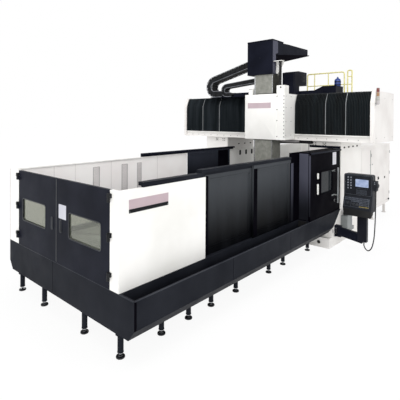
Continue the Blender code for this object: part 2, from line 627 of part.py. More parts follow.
def tube(name, finish_name, start, end, radius, sides=8):
    """Makes a straight tube between two points."""
    a = Vector(start)
    b = Vector(end)
    way = (b - a).normalized()
    side = way.orthogonal().normalized()
    other = way.cross(side)
    rings = []
    for centre in (a, b):
        ring = []
        for i in range(sides):
            turn = 2 * math.pi * i / sides
            ring.append(tuple(centre + radius * (math.cos(turn) * side + math.sin(turn) * other)))
        rings.append(ring)
    return loft(name, finish_name, rings)


def make_beam_top():
    """Makes the drive cover, guard rail, accumulator and signal lamp carried by the beam."""
    top = BEAM_TOP + SEAT
    end = -BEAM_HALF
    cover_top = BEAM_TOP + 0.28
    front = BEAM_FACE + 0.02
    wedge = [(end + 0.90, top), (end + 1.59, top), (end + 1.59, BEAM_TOP + 0.12), (end + 1.22, cover_top),
             (end + 0.90, cover_top)]
    prism("beam_drive_cover", "cover_black", [wedge], "x", front, front + 0.44)
    centre = (front + 0.36, end + 1.00)
    base = cover_top + SEAT
    can = prism("accumulator", "accumulator_blue", [circle(*centre, 0.075, 20)], "z", base, base + 0.19, smooth=True)
    neck = prism("accumulator_neck", "accumulator_blue", [circle(*centre, 0.03, 12)], "z", base + 0.18, base + 0.235)
    add(can, neck)
    x = BEAM_REAR - 0.15
    high = BEAM_TOP + 0.71
    low = BEAM_TOP + 0.38
    ends = (end + 1.99, end + 1.01)
    rail = tube("guard_rail", "rail_yellow", (x, ends[0] + 0.02, high), (x, ends[1], high), 0.02)
    pieces = [((x, ends[0], low), (x, ends[1] - 0.18, low)), ((x, ends[1] + 0.01, high), (x, ends[1] - 0.18, high - 0.04))]
    for y in (ends[0], end + 1.66, end + 1.31, ends[1]):
        pieces.append(((x, y, top), (x, y, high + 0.005)))
    pieces.append(((x, ends[1] - 0.17, top), (x, ends[1] - 0.17, high - 0.02)))
    for i, (start, end) in enumerate(pieces):
        add(rail, tube(f"guard_rail_tube_{i}", "rail_yellow", start, end, 0.017 if i < 2 else 0.019))
    side = -BEAM_HALF - END_COVER - SEAT
    lamp_y = side - 0.045
    lamp = prism("signal_lamp", "lamp_lens", [circle(BEAM_LIP + 0.04, lamp_y, 0.03, 16)], "z", BEAM_TOP - 0.17,
                 BEAM_TOP + 0.15)
    arm = block("signal_lamp_arm", "lamp_lens", (BEAM_LIP + 0.025, BEAM_LIP + 0.055), (lamp_y, side),
                (BEAM_TOP - 0.20, BEAM_TOP - 0.16))
    add(lamp, arm)


def band(name, finish_name, path, x0, x1, thickness, pitch, relief):
    """Makes a linked chain band: a stepped strip of links that follows a path in Y and Z."""
    lengths = [0.0]
    for (a, b), (c, d) in zip(path, path[1:]):
        lengths.append(lengths[-1] + math.hypot(c - a, d - b))
    total = lengths[-1]
    count = max(2, round(total / pitch))
    stations = []
    for i in range(count):
        stations += [(i, 0.0), (i + 0.78, 0.0), (i + 0.80, relief), (i + 0.98, relief)]
    stations.append((count, 0.0))
    rings = []
    for where, inset in stations:
        y, z, way_y, way_z = walk(path, lengths, total * where / count)
        half = thickness / 2 - inset
        rings.append([(x0 + inset, y - way_z * half, z + way_y * half), (x1 - inset, y - way_z * half, z + way_y * half),
                      (x1 - inset, y + way_z * half, z - way_y * half), (x0 + inset, y + way_z * half, z - way_y * half)])
    return loft(name, finish_name, rings)


def walk(path, lengths, distance):
    """Gives the point and direction of a path at a distance along it."""
    i = 0
    while i < len(path) - 2 and lengths[i + 1] < distance:
        i += 1
    (a, b), (c, d) = path[i], path[i + 1]
    span = lengths[i + 1] - lengths[i]
    share = (distance - lengths[i]) / span
    before = path[max(i - 1, 0)]
    after = path[min(i + 2, len(path) - 1)]
    way_start = Vector((c - before[0], d - before[1])).normalized()
    way_end = Vector((after[0] - a, after[1] - b)).normalized()
    way = way_start.lerp(way_end, share).normalized()
    return a + (c - a) * share, b + (d - b) * share, way.x, way.y


def bend(start, centre, radius, end_y, end_z, steps=12):
    """Gives a path from a start, tangent around the far side of a bend, to a level end."""
    points = [start]
    top = math.degrees(math.atan2(start[1] - centre[1], start[0] - centre[0]))
    reach = math.hypot(start[0] - centre[0], start[1] - centre[1])
    first = top - math.degrees(math.acos(radius / reach))
    for i in range(steps + 1):
        angle = math.radians(first + (-90 - first) * i / steps)
        points.append((centre[0] + radius * math.cos(angle), centre[1] + radius * math.sin(angle)))
    points.append((end_y, end_z))
    return [(start[0] - 0.06, start[1])] + points


def make_chains():
    """Makes the two cable chains, their tray and the cabinet behind the head."""
    tray_top = SADDLE_TOP + 0.005
    plate = SADDLE_FAR + SEAT
    block("chain_tray", "cover_black", (0.34, 0.60), (plate, 1.52), (tray_top - 0.02, tray_top))
    thick = 0.15
    low = tray_top + SEAT + thick / 2
    outer = bend((RAM_FAR + 0.23 + SEAT, 4.12), (1.42, low + 0.20), 0.20, 1.18, low)
    band("chain_outer", "chain_plastic", outer, 0.36, 0.56, thick, 0.075, 0.012)
    thin = 0.10
    level = tray_top + SEAT + thin / 2
    inner = bend((RAM_FAR + 0.06 + SEAT, 3.70), (0.98, level + 0.115), 0.115, 0.82, level, 8)
    band("chain_inner", "chain_plastic", inner, 0.38, 0.52, thin, 0.06, 0.009)
    outline = [(0.60, SADDLE_TOP + SEAT), (0.85, SADDLE_TOP + SEAT), (0.85, 3.56), (1.245, 3.57), (1.245, 3.90),
               (0.80, 3.90), (0.60, 3.86)]
    prism("head_cabinet", "cover_black", [outline], "y", SADDLE_NEAR + 0.04, SADDLE_NEAR + 0.36)


def make_cabinet():
    """Makes the electrical cabinet on its recessed stand and the lubrication unit."""
    rear = COLUMN_FRONT + COLUMN_DEPTH
    low = -COLUMN_GAP / 2 - COLUMN_WIDTH
    high = -COLUMN_GAP / 2
    cabinet = block("electrical_cabinet", "white_paint", (rear + SEAT, CABINET_REAR), (low, high),
                    (CABINET_LOW, CABINET_TOP))
    middle = rear + (CABINET_REAR - rear) * 0.31
    doors = ((rear + 0.05, middle, low, "y", 0.006), (middle + 0.03, CABINET_REAR - 0.05, low, "y", 0.006),
             (low + 0.05, high - 0.05, CABINET_REAR, "x", -0.006))
    for i, (a0, a1, face, along, depth) in enumerate(doors):
        outer = rectangle(a0, a1, CABINET_LOW + 0.08, CABINET_TOP - 0.06)
        inner = rectangle(a0 + 0.008, a1 - 0.008, CABINET_LOW + 0.088, CABINET_TOP - 0.068)
        near, deep = sorted((face - math.copysign(0.02, depth), face + depth))
        cut(cabinet, prism(f"cabinet_door_gap_{i}", "white_paint", [outer, inner], along, near, deep))
    front_x, back_x = rear + 0.12, CABINET_REAR - 0.10
    front_y, back_y = low + 0.07, high - 0.07
    stand = block("cabinet_stand", "white_paint", (front_x, back_x), (front_y, back_y),
                  (CABINET_LOW - SEAT - 0.06, CABINET_LOW - SEAT))
    for i, x in enumerate((front_x + 0.04, (front_x + back_x) / 2, back_x - 0.04)):
        for j, y in enumerate((front_y + 0.04, back_y - 0.04)):
            leg = block(f"cabinet_stand_leg_{i}_{j}", "white_paint", (x - 0.03, x + 0.03), (y - 0.03, y + 0.03),
                        (0.006, CABINET_LOW - SEAT - 0.05))
            add(stand, leg)
            shoe = block(f"cabinet_stand_shoe_{i}_{j}", "white_paint", (x - 0.055, x + 0.055),
                         (y - 0.055, y + 0.055), (0.0, 0.012))
            add(stand, shoe)
    unit = block("lubrication_unit", "pump_grey", (0.72, 1.30), (low - 0.15, low - SEAT), (0.30, 0.62))
    sump = block("lubrication_unit_sump", "pump_grey", (0.80, 1.22), (low - 0.12, low - 0.03), (0.22, 0.31))
    add(unit, sump)


def make_pendant():
    """Makes the control pendant on its swivelling arm, its handwheel and its hanging cable."""
    side = -COLUMN_GAP / 2 - COLUMN_WIDTH - SEAT
    reach = PIVOT_Y - 0.05
    bracket = block("pendant_bracket", "cover_black", (PIVOT_X - 0.06, PIVOT_X + 0.06), (side - 0.02, side), (0.21, 0.45))
    for i, (z0, z1) in enumerate(((0.21, 0.24), (0.42, 0.45))):
        ear = block(f"pendant_ear_{i}", "cover_black", (PIVOT_X - 0.045, PIVOT_X + 0.045), (reach, side - 0.01), (z0, z1))
        add(bracket, ear)
    low = 0.24 + SEAT
    high = 0.42 - SEAT
    arm = prism("pendant_arm", "cover_black", [circle(PIVOT_X, PIVOT_Y, 0.04, 20)], "z", low, high)
    outline = [(PIVOT_X - 0.03, PIVOT_Y), (POST_X - 0.04, POST_Y), (POST_X + 0.05, POST_Y), (PIVOT_X + 0.035, PIVOT_Y)]
    beam = prism("pendant_beam", "cover_black", [outline], "z", low, high)
    add(arm, beam)
    post = block("pendant_post", "cover_black", (POST_X - 0.05, POST_X + 0.05), (POST_Y - 0.09, POST_Y + 0.09),
                 (POST_LOW, POST_TOP))
    # The post runs through the arm and carries the head on a collar.
    cut(beam, block("pendant_beam_trim", "cover_black", (POST_X - 0.3, POST_X + 0.3), (POST_Y - 0.2, POST_Y - 0.001),
                    (0.1, 0.6)))
    add(arm, post)
    floor = 0.90
    profile = [(0.10, HEAD_TOP), (0.10, 1.20), (0.035, 0.97), (0.035, 0.935), (0.10, floor), (0.28, floor),
               (0.28, HEAD_TOP)]
    head = prism("pendant_head", "pendant_black", [profile], "y", HEAD_NEAR, HEAD_FAR)
    combine(head, prism("pendant_head_corners", "pendant_black",
                        [round_rectangle(HEAD_NEAR, HEAD_FAR, floor - 0.05, HEAD_TOP, 0.035)], "x", -0.1, 0.5),
            "INTERSECT")
    stem = prism("pendant_stem", "pendant_black", [circle(POST_X, POST_Y, 0.045, 20)], "z", POST_TOP + SEAT, floor + 0.01)
    add(head, stem)
    pod = block("pendant_pod", "pendant_black", (0.14, 0.26), (HEAD_NEAR - 0.06, HEAD_NEAR + 0.01), (1.33, 1.52))
    add(head, pod)
    dial = prism("handwheel", "pump_grey", [circle(0.20, 1.43, 0.045, 24)], "y", HEAD_NEAR - 0.085, HEAD_NEAR - 0.065)
    hub = prism("handwheel_hub", "pump_grey", [circle(0.20, 1.43, 0.012, 12)], "y", HEAD_NEAR - 0.07,
                HEAD_NEAR - 0.06 - SEAT)
    add(dial, hub)
    make_cable()


def make_cable():
    """Makes the hanging cable from the handwheel box down, around and up into the post."""
    start = (0.20, HEAD_NEAR - 0.035, 1.33 - SEAT)
    end_y = POST_Y - 0.03
    keys = [start, (0.20, HEAD_NEAR - 0.035, 1.20), (0.20, HEAD_NEAR - 0.03, 0.80), (0.20, HEAD_NEAR - 0.015, 0.45),
            (0.20, HEAD_NEAR + 0.01, 0.27), (0.20, HEAD_NEAR + 0.045, 0.165), (0.20, HEAD_NEAR + 0.10, 0.115),
            (0.20, end_y - 0.03, 0.145), (0.20, end_y, 0.205), (0.20, end_y, 0.24), (0.20, end_y, POST_LOW - SEAT)]
    points = smooth_path(keys, 6)
    curve = bpy.data.curves.new("pendant_cable", "CURVE")
    curve.dimensions = "3D"
    curve.bevel_depth = CABLE_RADIUS
    curve.bevel_resolution = 2
    curve.use_fill_caps = True
    line = curve.splines.new("POLY")
    line.points.add(len(points) - 1)
    for spot, point in zip(line.points, points):
        spot.co = (*point, 1.0)
    curve.materials.append(paint("cable_black"))
    bpy.context.collection.objects.link(bpy.data.objects.new("pendant_cable", curve))


def smooth_path(keys, steps):
    """Reads a smooth curve through the key points with the same number of steps in each span."""
    points = []
    count = len(keys)
    for i in range(count - 1):
        p0, p1, p2, p3 = (Vector(keys[max(i - 1, 0)]), Vector(keys[i]), Vector(keys[i + 1]),
                          Vector(keys[min(i + 2, count - 1)]))
        for j in range(steps):
            t = j / steps
            spot = 0.5 * (2 * p1 + (p2 - p0) * t + (2 * p0 - 5 * p1 + 4 * p2 - p3) * t * t
                          + (3 * p1 - p0 - 3 * p2 + p3) * t ** 3)
            points.append(tuple(spot))
    points.append(tuple(keys[-1]))
    return points


def main():
    """Builds the whole machine."""
    clear_scene()
    make_bed()
    make_columns()
    make_beam()
    make_bellows("bellows_far", SADDLE_FAR + RUN, BEAM_HALF - RUN)
    make_bellows("bellows_near", -BEAM_HALF + RUN, SADDLE_NEAR - RUN)
    make_trays()
    make_legs()
    make_near_side()
    make_operator_bay()
    make_end_doors()
    make_far_side()
    make_saddle()
    make_chains()
    make_beam_top()
    make_cabinet()
    make_pendant()


main()
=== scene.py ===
"""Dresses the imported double-column vertical machining center for its portrait.

Metres, +Z up, the bed along X, the operator on the -Y side. New pieces are surfaces worked out with numpy, and every
finish is procedural. Colours are sRGB hex values.
"""
import math

import bmesh
import bpy
import numpy as np
from mathutils import Matrix


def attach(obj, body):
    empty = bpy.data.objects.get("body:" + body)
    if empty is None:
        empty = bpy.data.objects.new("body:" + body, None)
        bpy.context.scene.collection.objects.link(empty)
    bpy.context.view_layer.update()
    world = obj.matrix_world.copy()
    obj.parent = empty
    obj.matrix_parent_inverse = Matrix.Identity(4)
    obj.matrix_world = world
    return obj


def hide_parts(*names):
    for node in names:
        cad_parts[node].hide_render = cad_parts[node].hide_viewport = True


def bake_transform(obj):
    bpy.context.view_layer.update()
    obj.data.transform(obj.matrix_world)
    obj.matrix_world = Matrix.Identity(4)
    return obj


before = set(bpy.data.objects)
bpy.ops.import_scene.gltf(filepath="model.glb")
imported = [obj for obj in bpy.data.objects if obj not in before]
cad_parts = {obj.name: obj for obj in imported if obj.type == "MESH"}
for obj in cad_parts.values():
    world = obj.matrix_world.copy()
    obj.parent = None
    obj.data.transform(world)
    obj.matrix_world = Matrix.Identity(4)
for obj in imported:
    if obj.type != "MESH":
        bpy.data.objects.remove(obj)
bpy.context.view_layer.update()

# Sizes repeated from the model, in metres
GUARD_FRONT = -5.10
GUARD_LOW = 0.755
TRAY_NEAR = -1.965
TRAY_WALL_LOW = 0.435
TRAY_LIP_LOW = 0.748
NEAR_WALL = -1.69
FAR_WALL = 1.19
BEAM_LOW = 2.24
BEAM_LEDGE = 2.385
BEAM_TOP = 3.24
BEAM_HALF = 2.61
BEAM_LIP = 0.56
END_COVER = 0.085
COLUMN_FRONT = 0.70
COLUMN_DEPTH = 1.30
COLUMN_INNER = 1.20
COLUMN_OUTER = 1.95
COLUMN_SIDE = -COLUMN_OUTER
SADDLE_FRONT = 0.05
SADDLE_NEAR = -0.90
SADDLE_FAR = 0.175
SADDLE_TOP = 3.32
RAM_FAR = -0.05
RAM_LOW = 1.56
RAM_COVER_SIDE = -0.58
RAM_COVER_TOP = 4.56
CHAIN_TRAY_TOP = 3.325
CHAIN_TRAY_LOW = 3.3025
SPINDLE_X, SPINDLE_Y = 0.305, -0.30
GAITER_X, GAITER_Y = 0.12, -0.75
ACCUMULATOR_X, ACCUMULATOR_Y = 1.34, -1.61
RAIL_X = 1.80
HEAD_NEAR = -2.80
HEAD_FAR = -2.25
HEAD_FRONT = 0.10
HEAD_TOP = 1.63
POST_X = 0.20
PIVOT_X, PIVOT_Y = 0.43, -2.03

# Spacings and counts that a function repeats, in metres
PLEAT_PITCH = 0.0335
PLEAT_DEPTH = 0.024
LINK_PLATE = 0.011
CHAIN_SAMPLES = 70
HINGE_PITCH = 0.45
WHEEL_POINTS = 96
WHEEL_TICKS = 20
GAITER_PLEATS = 28
PIPE_PITCH = 0.026
ORIGIN = (0, 0, 0)

# The photograph's camera, in pixels and metres, and its lamps: name, place, aim, width and power
PHOTO_PIXELS = 400.0
FOCAL_PIXELS = 376.64
CENTRE_ROW = 123.97
SENSOR = 36.0
CAMERA_PLACE = (-7.6365, -5.1160, 2.7)
YAW, PITCH, ROLL = 0.849035, 0.01044456, -0.00620286
WORLD_LIGHT = 0.9
FLOOR_HALF = 120.0
LAMPS = (("end_lamp", (-36.0, -8.0, 6.5), (-1.0, 0.0, 1.5), 14.0, 2450.0),
         ("side_lamp", (-19.0, -32.0, 11.5), (0.0, 0.0, 1.8), 12.0, 2750.0),
         ("top_lamp", (2.0, 2.0, 24.0), (0.0, 0.0, 1.0), 16.0, 500.0),
         ("inner_lamp", (-4.2, -2.4, 8.0), (-0.5, 1.8, 1.8), 4.0, 170.0))


# Surfaces worked out as grids of points

AXES = {"x": (1, 2, 0), "y": (2, 0, 1), "z": (0, 1, 2)}


def shell(grid, wrap_rows=False, wrap_columns=True):
    """Surface over a grid of points: each square joins a point with its next neighbours, and a wrapped side joins its
    own start."""
    rows, columns = grid.shape[:2]
    r = np.arange(rows if wrap_rows else rows - 1)[:, None]
    c = np.arange(columns if wrap_columns else columns - 1)[None, :]
    next_r = (r + 1) % rows
    next_c = (c + 1) % columns
    corners = [r * columns + c, r * columns + next_c, next_r * columns + next_c, next_r * columns + c]
    return grid.reshape(-1, 3), np.stack(corners, -1).reshape(-1, 4)


def joined(*surfaces):
    """Several surfaces as one."""
    starts = np.cumsum([0] + [len(points) for points, _ in surfaces[:-1]])
    return (np.concatenate([points for points, _ in surfaces]),
            np.concatenate([faces + start for (_, faces), start in zip(surfaces, starts)]))


def repeated(placed, faces):
    """One surface out of copies of its points, one row for each copy: its faces count on by a copy's points."""
    shifts = np.arange(len(placed))[:, None, None] * placed.shape[1]
    return placed.reshape(-1, 3), (faces[None] + shifts).reshape(-1, 4)


def copies(surface, places):
    """The same surface set down at every place of a list."""
    points, faces = surface
    return repeated(points[None] + np.asarray(places, float).reshape(-1, 1, 3), faces)


def laid(outline, level, axis):
    """Outline points (a, b) at a level along an axis; a and b follow the axis in the order x, y, z, x."""
    out = np.empty((len(outline), 3))
    a, b, c = AXES[axis]
    out[:, a], out[:, b], out[:, c] = outline[:, 0], outline[:, 1], level
    return out


def softened(corners, radius, steps=3):
    """Closed outline whose corners are parabolas: each starts one radius before its corner and ends one after."""
    corner = np.asarray(corners, float)
    before = np.roll(corner, 1, 0) - corner
    after = np.roll(corner, -1, 0) - corner
    before /= np.linalg.norm(before, axis=1)[:, None]
    after /= np.linalg.norm(after, axis=1)[:, None]
    reach = np.broadcast_to(radius, len(corner))[:, None]
    a, b = corner + before * reach, corner + after * reach
    t = np.linspace(0, 1, steps + 1)[None, :, None]
    curve = (1 - t) ** 2 * a[:, None] + 2 * t * (1 - t) * corner[:, None] + t ** 2 * b[:, None]
    return curve.reshape(-1, 2)


def oblong(a0, a1, b0, b1, radius, steps=3):
    """Rectangle with rounded corners."""
    return softened([(a0, b0), (a1, b0), (a1, b1), (a0, b1)], radius, steps)


def shrunk(outline, amount):
    """Outline moved inward: each point goes along the mean of its two edges' inward normals."""
    edge = np.roll(outline, -1, 0) - outline
    edge /= np.maximum(np.linalg.norm(edge, axis=1), 1e-9)[:, None]
    normal = np.stack([-edge[:, 1], edge[:, 0]], -1)
    mean = normal + np.roll(normal, 1, 0)
    mean /= np.maximum((mean ** 2).sum(1) / 2, 0.3)[:, None]
    turn = np.sign(np.sum(outline[:, 0] * np.roll(outline[:, 1], -1) - np.roll(outline[:, 0], -1) * outline[:, 1]))
    return outline + mean * amount * turn


def slab(outline, axis, low, high, ease=0.003, steps=2):
    """Outline carried from low to high with eased edges: near both ends it shrinks by ease*(1-cos) while it rises by
    ease*sin, and it closes to its middle."""
    turn = np.linspace(math.pi / 2, 0, steps + 1)
    inward = ease * (1 - np.cos(turn))
    rise = ease * (1 - np.sin(turn))
    middle = np.broadcast_to(outline.mean(0), outline.shape)
    rings = [laid(middle, low, axis)]
    rings += [laid(shrunk(outline, i), low + r, axis) for i, r in zip(inward, rise)]
    rings += [laid(shrunk(outline, i), high - r, axis) for i, r in zip(inward[::-1], rise[::-1])]
    rings.append(laid(middle, high, axis))
    return shell(np.stack(rings))


def box(x, y, z, ease=0.003, radius=0.004, axis="x", steps=2):
    """Block with eased edges, its outline rounded as well."""
    spans = dict(zip("xyz", (x, y, z)))
    order = ["xyz"[i] for i in AXES[axis]]
    a, b = spans[order[0]], spans[order[1]]
    return slab(oblong(a[0], a[1], b[0], b[1], radius, 2), axis, *spans[axis], ease, steps)


def ring(outer, inner, axis, low, high, ease=0.002):
    """Frame between two outlines of equal count: its section is a rectangle whose four edges are chamfered."""
    rows = ((outer, 0, low + ease), (outer, 0, high - ease), (outer, ease, high), (inner, -ease, high),
            (inner, 0, high - ease), (inner, 0, low + ease), (inner, -ease, low), (outer, ease, low))
    return shell(np.stack([laid(shrunk(line, move), level, axis) for line, move, level in rows]), wrap_rows=True)


def turned(profile, centre, axis="z", sides=16):
    """Surface of revolution: each (radius, height) of the profile becomes a circle round the axis."""
    angle = np.linspace(0, 2 * math.pi, sides, endpoint=False)
    circle = np.stack([np.cos(angle), np.sin(angle)], -1)
    return shell(np.stack([laid(circle * r, h, axis) for r, h in profile]) + np.asarray(centre, float))


def pipe(path, radius, sides=10, pole=(1.0, 0.0, 0.0)):
    """Round tube: circles square to a path, each set up from the path's own direction and a fixed pole; both ends close
    to a point."""
    path = np.asarray(path, float)
    way = np.gradient(path, axis=0)
    way /= np.linalg.norm(way, axis=1)[:, None]
    side = np.cross(way, pole)
    side /= np.linalg.norm(side, axis=1)[:, None]
    other = np.cross(side, way)
    angle = np.linspace(0, 2 * math.pi, sides, endpoint=False)
    circle = np.cos(angle)[None, :, None] * side[:, None] + np.sin(angle)[None, :, None] * other[:, None]
    grid = path[:, None] + np.broadcast_to(radius, len(path))[:, None, None] * circle
    ends = [np.broadcast_to(path[i][None, None], grid[:1].shape) for i in (0, -1)]
    return shell(np.concatenate([ends[0], grid, ends[1]]))


def eased(keys, steps):
    """Smooth curve through key points: each span is the cubic whose end slopes are half its neighbours' chords."""
    keys = np.asarray(keys, float)
    p0, p1, p2 = np.concatenate([keys[:1], keys[:-2]]), keys[:-1], keys[1:]
    p3 = np.concatenate([keys[2:], keys[-1:]])
    t = (np.arange(steps) / steps)[None, :, None]
    spot = 0.5 * (2 * p1[:, None] + (p2 - p0)[:, None] * t + (2 * p0 - 5 * p1 + 4 * p2 - p3)[:, None] * t ** 2
                  + (3 * p1 - p0 - 3 * p2 + p3)[:, None] * t ** 3)
    return np.concatenate([spot.reshape(-1, 3), keys[-1:]])


def screws(places, axis, radius=0.009, height=0.006, outward=-1):
    """Cap screws with a socket, as one turned profile set down at each place."""
    profile = np.array([(0, 0), (1, 0), (1, 0.75), (0.85, 1), (0.5, 1), (0.45, 0.5), (0, 0.5)])
    profile = profile * (radius, height * outward)
    return copies(turned(profile, ORIGIN, axis, 8), places)


def piece(name, surface, finish, body, smooth=35):
    """Makes the mesh of a surface, merges its seams, turns its faces outward, and lets it ride on a body; given two
    bodies to blend between, it only applies its transform."""
    points, faces = surface
    mesh = bpy.data.meshes.new(name)
    mesh.from_pydata(points.tolist(), [], faces.tolist())
    work = bmesh.new()
    work.from_mesh(mesh)
    bmesh.ops.remove_doubles(work, verts=work.verts, dist=2e-5)
    bmesh.ops.dissolve_degenerate(work, edges=work.edges, dist=1e-6)
    bmesh.ops.recalc_face_normals(work, faces=work.faces)
    work.to_mesh(mesh)
    work.free()
    mesh.shade_smooth()
    mesh.set_sharp_from_angle(angle=math.radians(smooth))
    mesh.materials.append(finish)
    made = bpy.data.objects.new(name, mesh)
    bpy.context.scene.collection.objects.link(made)
    if isinstance(body, str):
        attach(made, body)
    else:
        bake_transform(made)
    return made


# Finishes

def linear(hex_colour):
    """sRGB hex to a linear colour."""
    value = np.array([int(hex_colour[i:i + 2], 16) for i in (1, 3, 5)]) / 255
    value = np.where(value <= 0.04045, value / 12.92, ((value + 0.055) / 1.055) ** 2.4)
    return (*value.tolist(), 1.0)


def add(tree, kind, settings=None, **sockets):
    """Adds a node: settings are its properties, and sockets take a value or another node's output, by name or as i0."""
    node = tree.nodes.new(kind)
    for key, value in (settings or {}).items():
        setattr(node, key, value)
    for key, value in sockets.items():
        socket = node.inputs[int(key[1:]) if key[1:].isdigit() else key.replace("_", " ")]
        if isinstance(value, bpy.types.NodeSocket):
            tree.links.new(value, socket)
        else:
            socket.default_value = value
    return node


def begin(name):
    """Starts a material; gives its nodes and Object coordinates."""
    made = bpy.data.materials.new(name)
    made.use_nodes = True
    made.node_tree.nodes.clear()
    return made, made.node_tree, add(made.node_tree, "ShaderNodeTexCoord").outputs["Object"]


def close(tree, **sockets):
    """Ends a material in a Principled shader with these values and links."""
    shader = add(tree, "ShaderNodeBsdfPrincipled", **sockets)
    add(tree, "ShaderNodeOutputMaterial", Surface=shader.outputs["BSDF"])


def mottled(tree, amount, dark, light, low=0.35, high=0.65):
    """Colour between two sRGB colours: the dark one where a texture's amount is under low, the light one over high."""
    share = add(tree, "ShaderNodeMapRange", Value=amount, From_Min=low, From_Max=high)
    return add(tree, "ShaderNodeMix", {"data_type": "RGBA"}, Factor=share.outputs["Result"], i6=linear(dark),
               i7=linear(light)).outputs[2]


def powder_coat(name, dark, light, roughness, peel=0.0006, gloss=0.5):
    """Powder coat baked on steel sheet: orange peel of 4 mm cells, drawn at 14 mm so that it shows, over a faint cloud
    where the coat is thicker, and a little dust that dulls the shine. A fine texture hides part of its own gloss."""
    made, tree, where = begin(name)
    cloud = add(tree, "ShaderNodeTexNoise", Vector=where, Scale=1.6, Detail=3.0)
    colour = mottled(tree, cloud.outputs["Fac"], dark, light)
    cells = add(tree, "ShaderNodeTexNoise", Vector=where, Scale=70.0, Detail=2.0)
    peeled = add(tree, "ShaderNodeBump", Distance=peel, Height=cells.outputs["Fac"])
    dust = add(tree, "ShaderNodeTexNoise", Vector=where, Scale=5.0, Detail=5.0)
    dull = add(tree, "ShaderNodeMapRange", Value=dust.outputs["Fac"], From_Min=0.3, From_Max=0.7,
               To_Min=roughness - 0.05, To_Max=roughness + 0.08)
    close(tree, Base_Color=colour, Roughness=dull.outputs["Result"], Specular_IOR_Level=gloss,
          Normal=peeled.outputs["Normal"])
    return made


def painted_sheen_coat(name, shaded_foot, lit_top, low, high, roughness, gloss):
    """Fine-textured powder coat on the sliding doors, with painted sheen: paler toward the top, where the light the
    coat reflects is painted into its colour, broken into upright streaks of 60 mm, and the foot stays dark."""
    made, tree, where = begin(name)
    place = add(tree, "ShaderNodeSeparateXYZ", Vector=where)
    rise = add(tree, "ShaderNodeMapRange", {"interpolation_type": "SMOOTHSTEP"}, Value=place.outputs["Z"], From_Min=low,
               From_Max=high)
    drawn = add(tree, "ShaderNodeMapping", Vector=where, Scale=(3.0, 3.0, 0.7))
    sheen_streaks = add(tree, "ShaderNodeTexNoise", Vector=drawn.outputs["Vector"], Scale=2.0, Detail=5.0)
    sheen_streak_shift = add(tree, "ShaderNodeMath", {"operation": "MULTIPLY_ADD"}, i0=sheen_streaks.outputs["Fac"], i1=0.35, i2=-0.17)
    share = add(tree, "ShaderNodeMath", {"operation": "ADD", "use_clamp": True}, i0=rise.outputs["Result"],
                i1=sheen_streak_shift.outputs["Value"])
    colour = add(tree, "ShaderNodeMix", {"data_type": "RGBA"}, Factor=share.outputs["Value"], i6=linear(shaded_foot),
                 i7=linear(lit_top))
    cells = add(tree, "ShaderNodeTexNoise", Vector=where, Scale=70.0, Detail=2.0)
    peeled = add(tree, "ShaderNodeBump", Distance=0.0005, Height=cells.outputs["Fac"])
    dull = add(tree, "ShaderNodeMapRange", Value=sheen_streaks.outputs["Fac"], From_Min=0.3, From_Max=0.7,
               To_Min=roughness - 0.05, To_Max=roughness + 0.08)
    close(tree, Base_Color=colour.outputs[2], Roughness=dull.outputs["Result"], Specular_IOR_Level=gloss,
          Normal=peeled.outputs["Normal"])
    return made


def enamelled_casting(name, dark, light, roughness):
    """Filled, rubbed down and sprayed cast iron: soft waves of 0.4 m from the filler and a 15 mm spray grain."""
    made, tree, where = begin(name)
    cloud = add(tree, "ShaderNodeTexNoise", Vector=where, Scale=1.0, Detail=4.0)
    colour = mottled(tree, cloud.outputs["Fac"], dark, light)
    waves = add(tree, "ShaderNodeTexNoise", Vector=where, Scale=2.4, Detail=1.0)
    grain = add(tree, "ShaderNodeTexNoise", Vector=where, Scale=60.0, Detail=3.0)
    height = add(tree, "ShaderNodeMath", {"operation": "MULTIPLY_ADD"}, i0=grain.outputs["Fac"], i1=0.25,
                 i2=waves.outputs["Fac"])
    uneven = add(tree, "ShaderNodeBump", Distance=0.0035, Height=height.outputs["Value"])
    dull = add(tree, "ShaderNodeMapRange", Value=cloud.outputs["Fac"], From_Min=0.3, From_Max=0.7,
               To_Min=roughness - 0.06, To_Max=roughness + 0.08)
    close(tree, Base_Color=colour, Roughness=dull.outputs["Result"], Normal=uneven.outputs["Normal"])
    return made


def scraped_iron(name, dark, light):
    """Ground cast iron with hand-scraped bearing marks: 12 mm crescents drawn at 28 mm, and a mottle of dried oil."""
    made, tree, where = begin(name)
    oil = add(tree, "ShaderNodeTexNoise", Vector=where, Scale=9.0, Detail=6.0, Roughness=0.65)
    colour = mottled(tree, oil.outputs["Fac"], dark, light, 0.32, 0.68)
    marks = add(tree, "ShaderNodeTexVoronoi", Vector=where, Scale=36.0)
    bright = add(tree, "ShaderNodeMapRange", Value=marks.outputs["Distance"], To_Min=0.36, To_Max=0.58)
    hollows = add(tree, "ShaderNodeBump", Distance=0.0012, Height=marks.outputs["Distance"])
    close(tree, Base_Color=colour, Metallic=0.45, Roughness=bright.outputs["Result"],
          Normal=hollows.outputs["Normal"])
    return made


def drawn_steel(name, dark, light, roughness, lines):
    """Rolled, ground or plated metal: draw lines of 2 mm, drawn at 8 mm, run where the scale is small."""
    made, tree, where = begin(name)
    cloud = add(tree, "ShaderNodeTexNoise", Vector=where, Scale=3.0, Detail=4.0)
    colour = mottled(tree, cloud.outputs["Fac"], dark, light)
    stretched = add(tree, "ShaderNodeMapping", Vector=where, Scale=lines)
    streaks = add(tree, "ShaderNodeTexNoise", Vector=stretched.outputs["Vector"], Scale=1.0, Detail=3.0)
    bright = add(tree, "ShaderNodeMapRange", Value=streaks.outputs["Fac"], From_Min=0.3, From_Max=0.7,
                 To_Min=roughness - 0.1, To_Max=roughness + 0.12)
    grooves = add(tree, "ShaderNodeBump", Distance=0.0003, Height=streaks.outputs["Fac"])
    close(tree, Base_Color=colour, Metallic=1.0, Roughness=bright.outputs["Result"],
          Normal=grooves.outputs["Normal"])
    return made


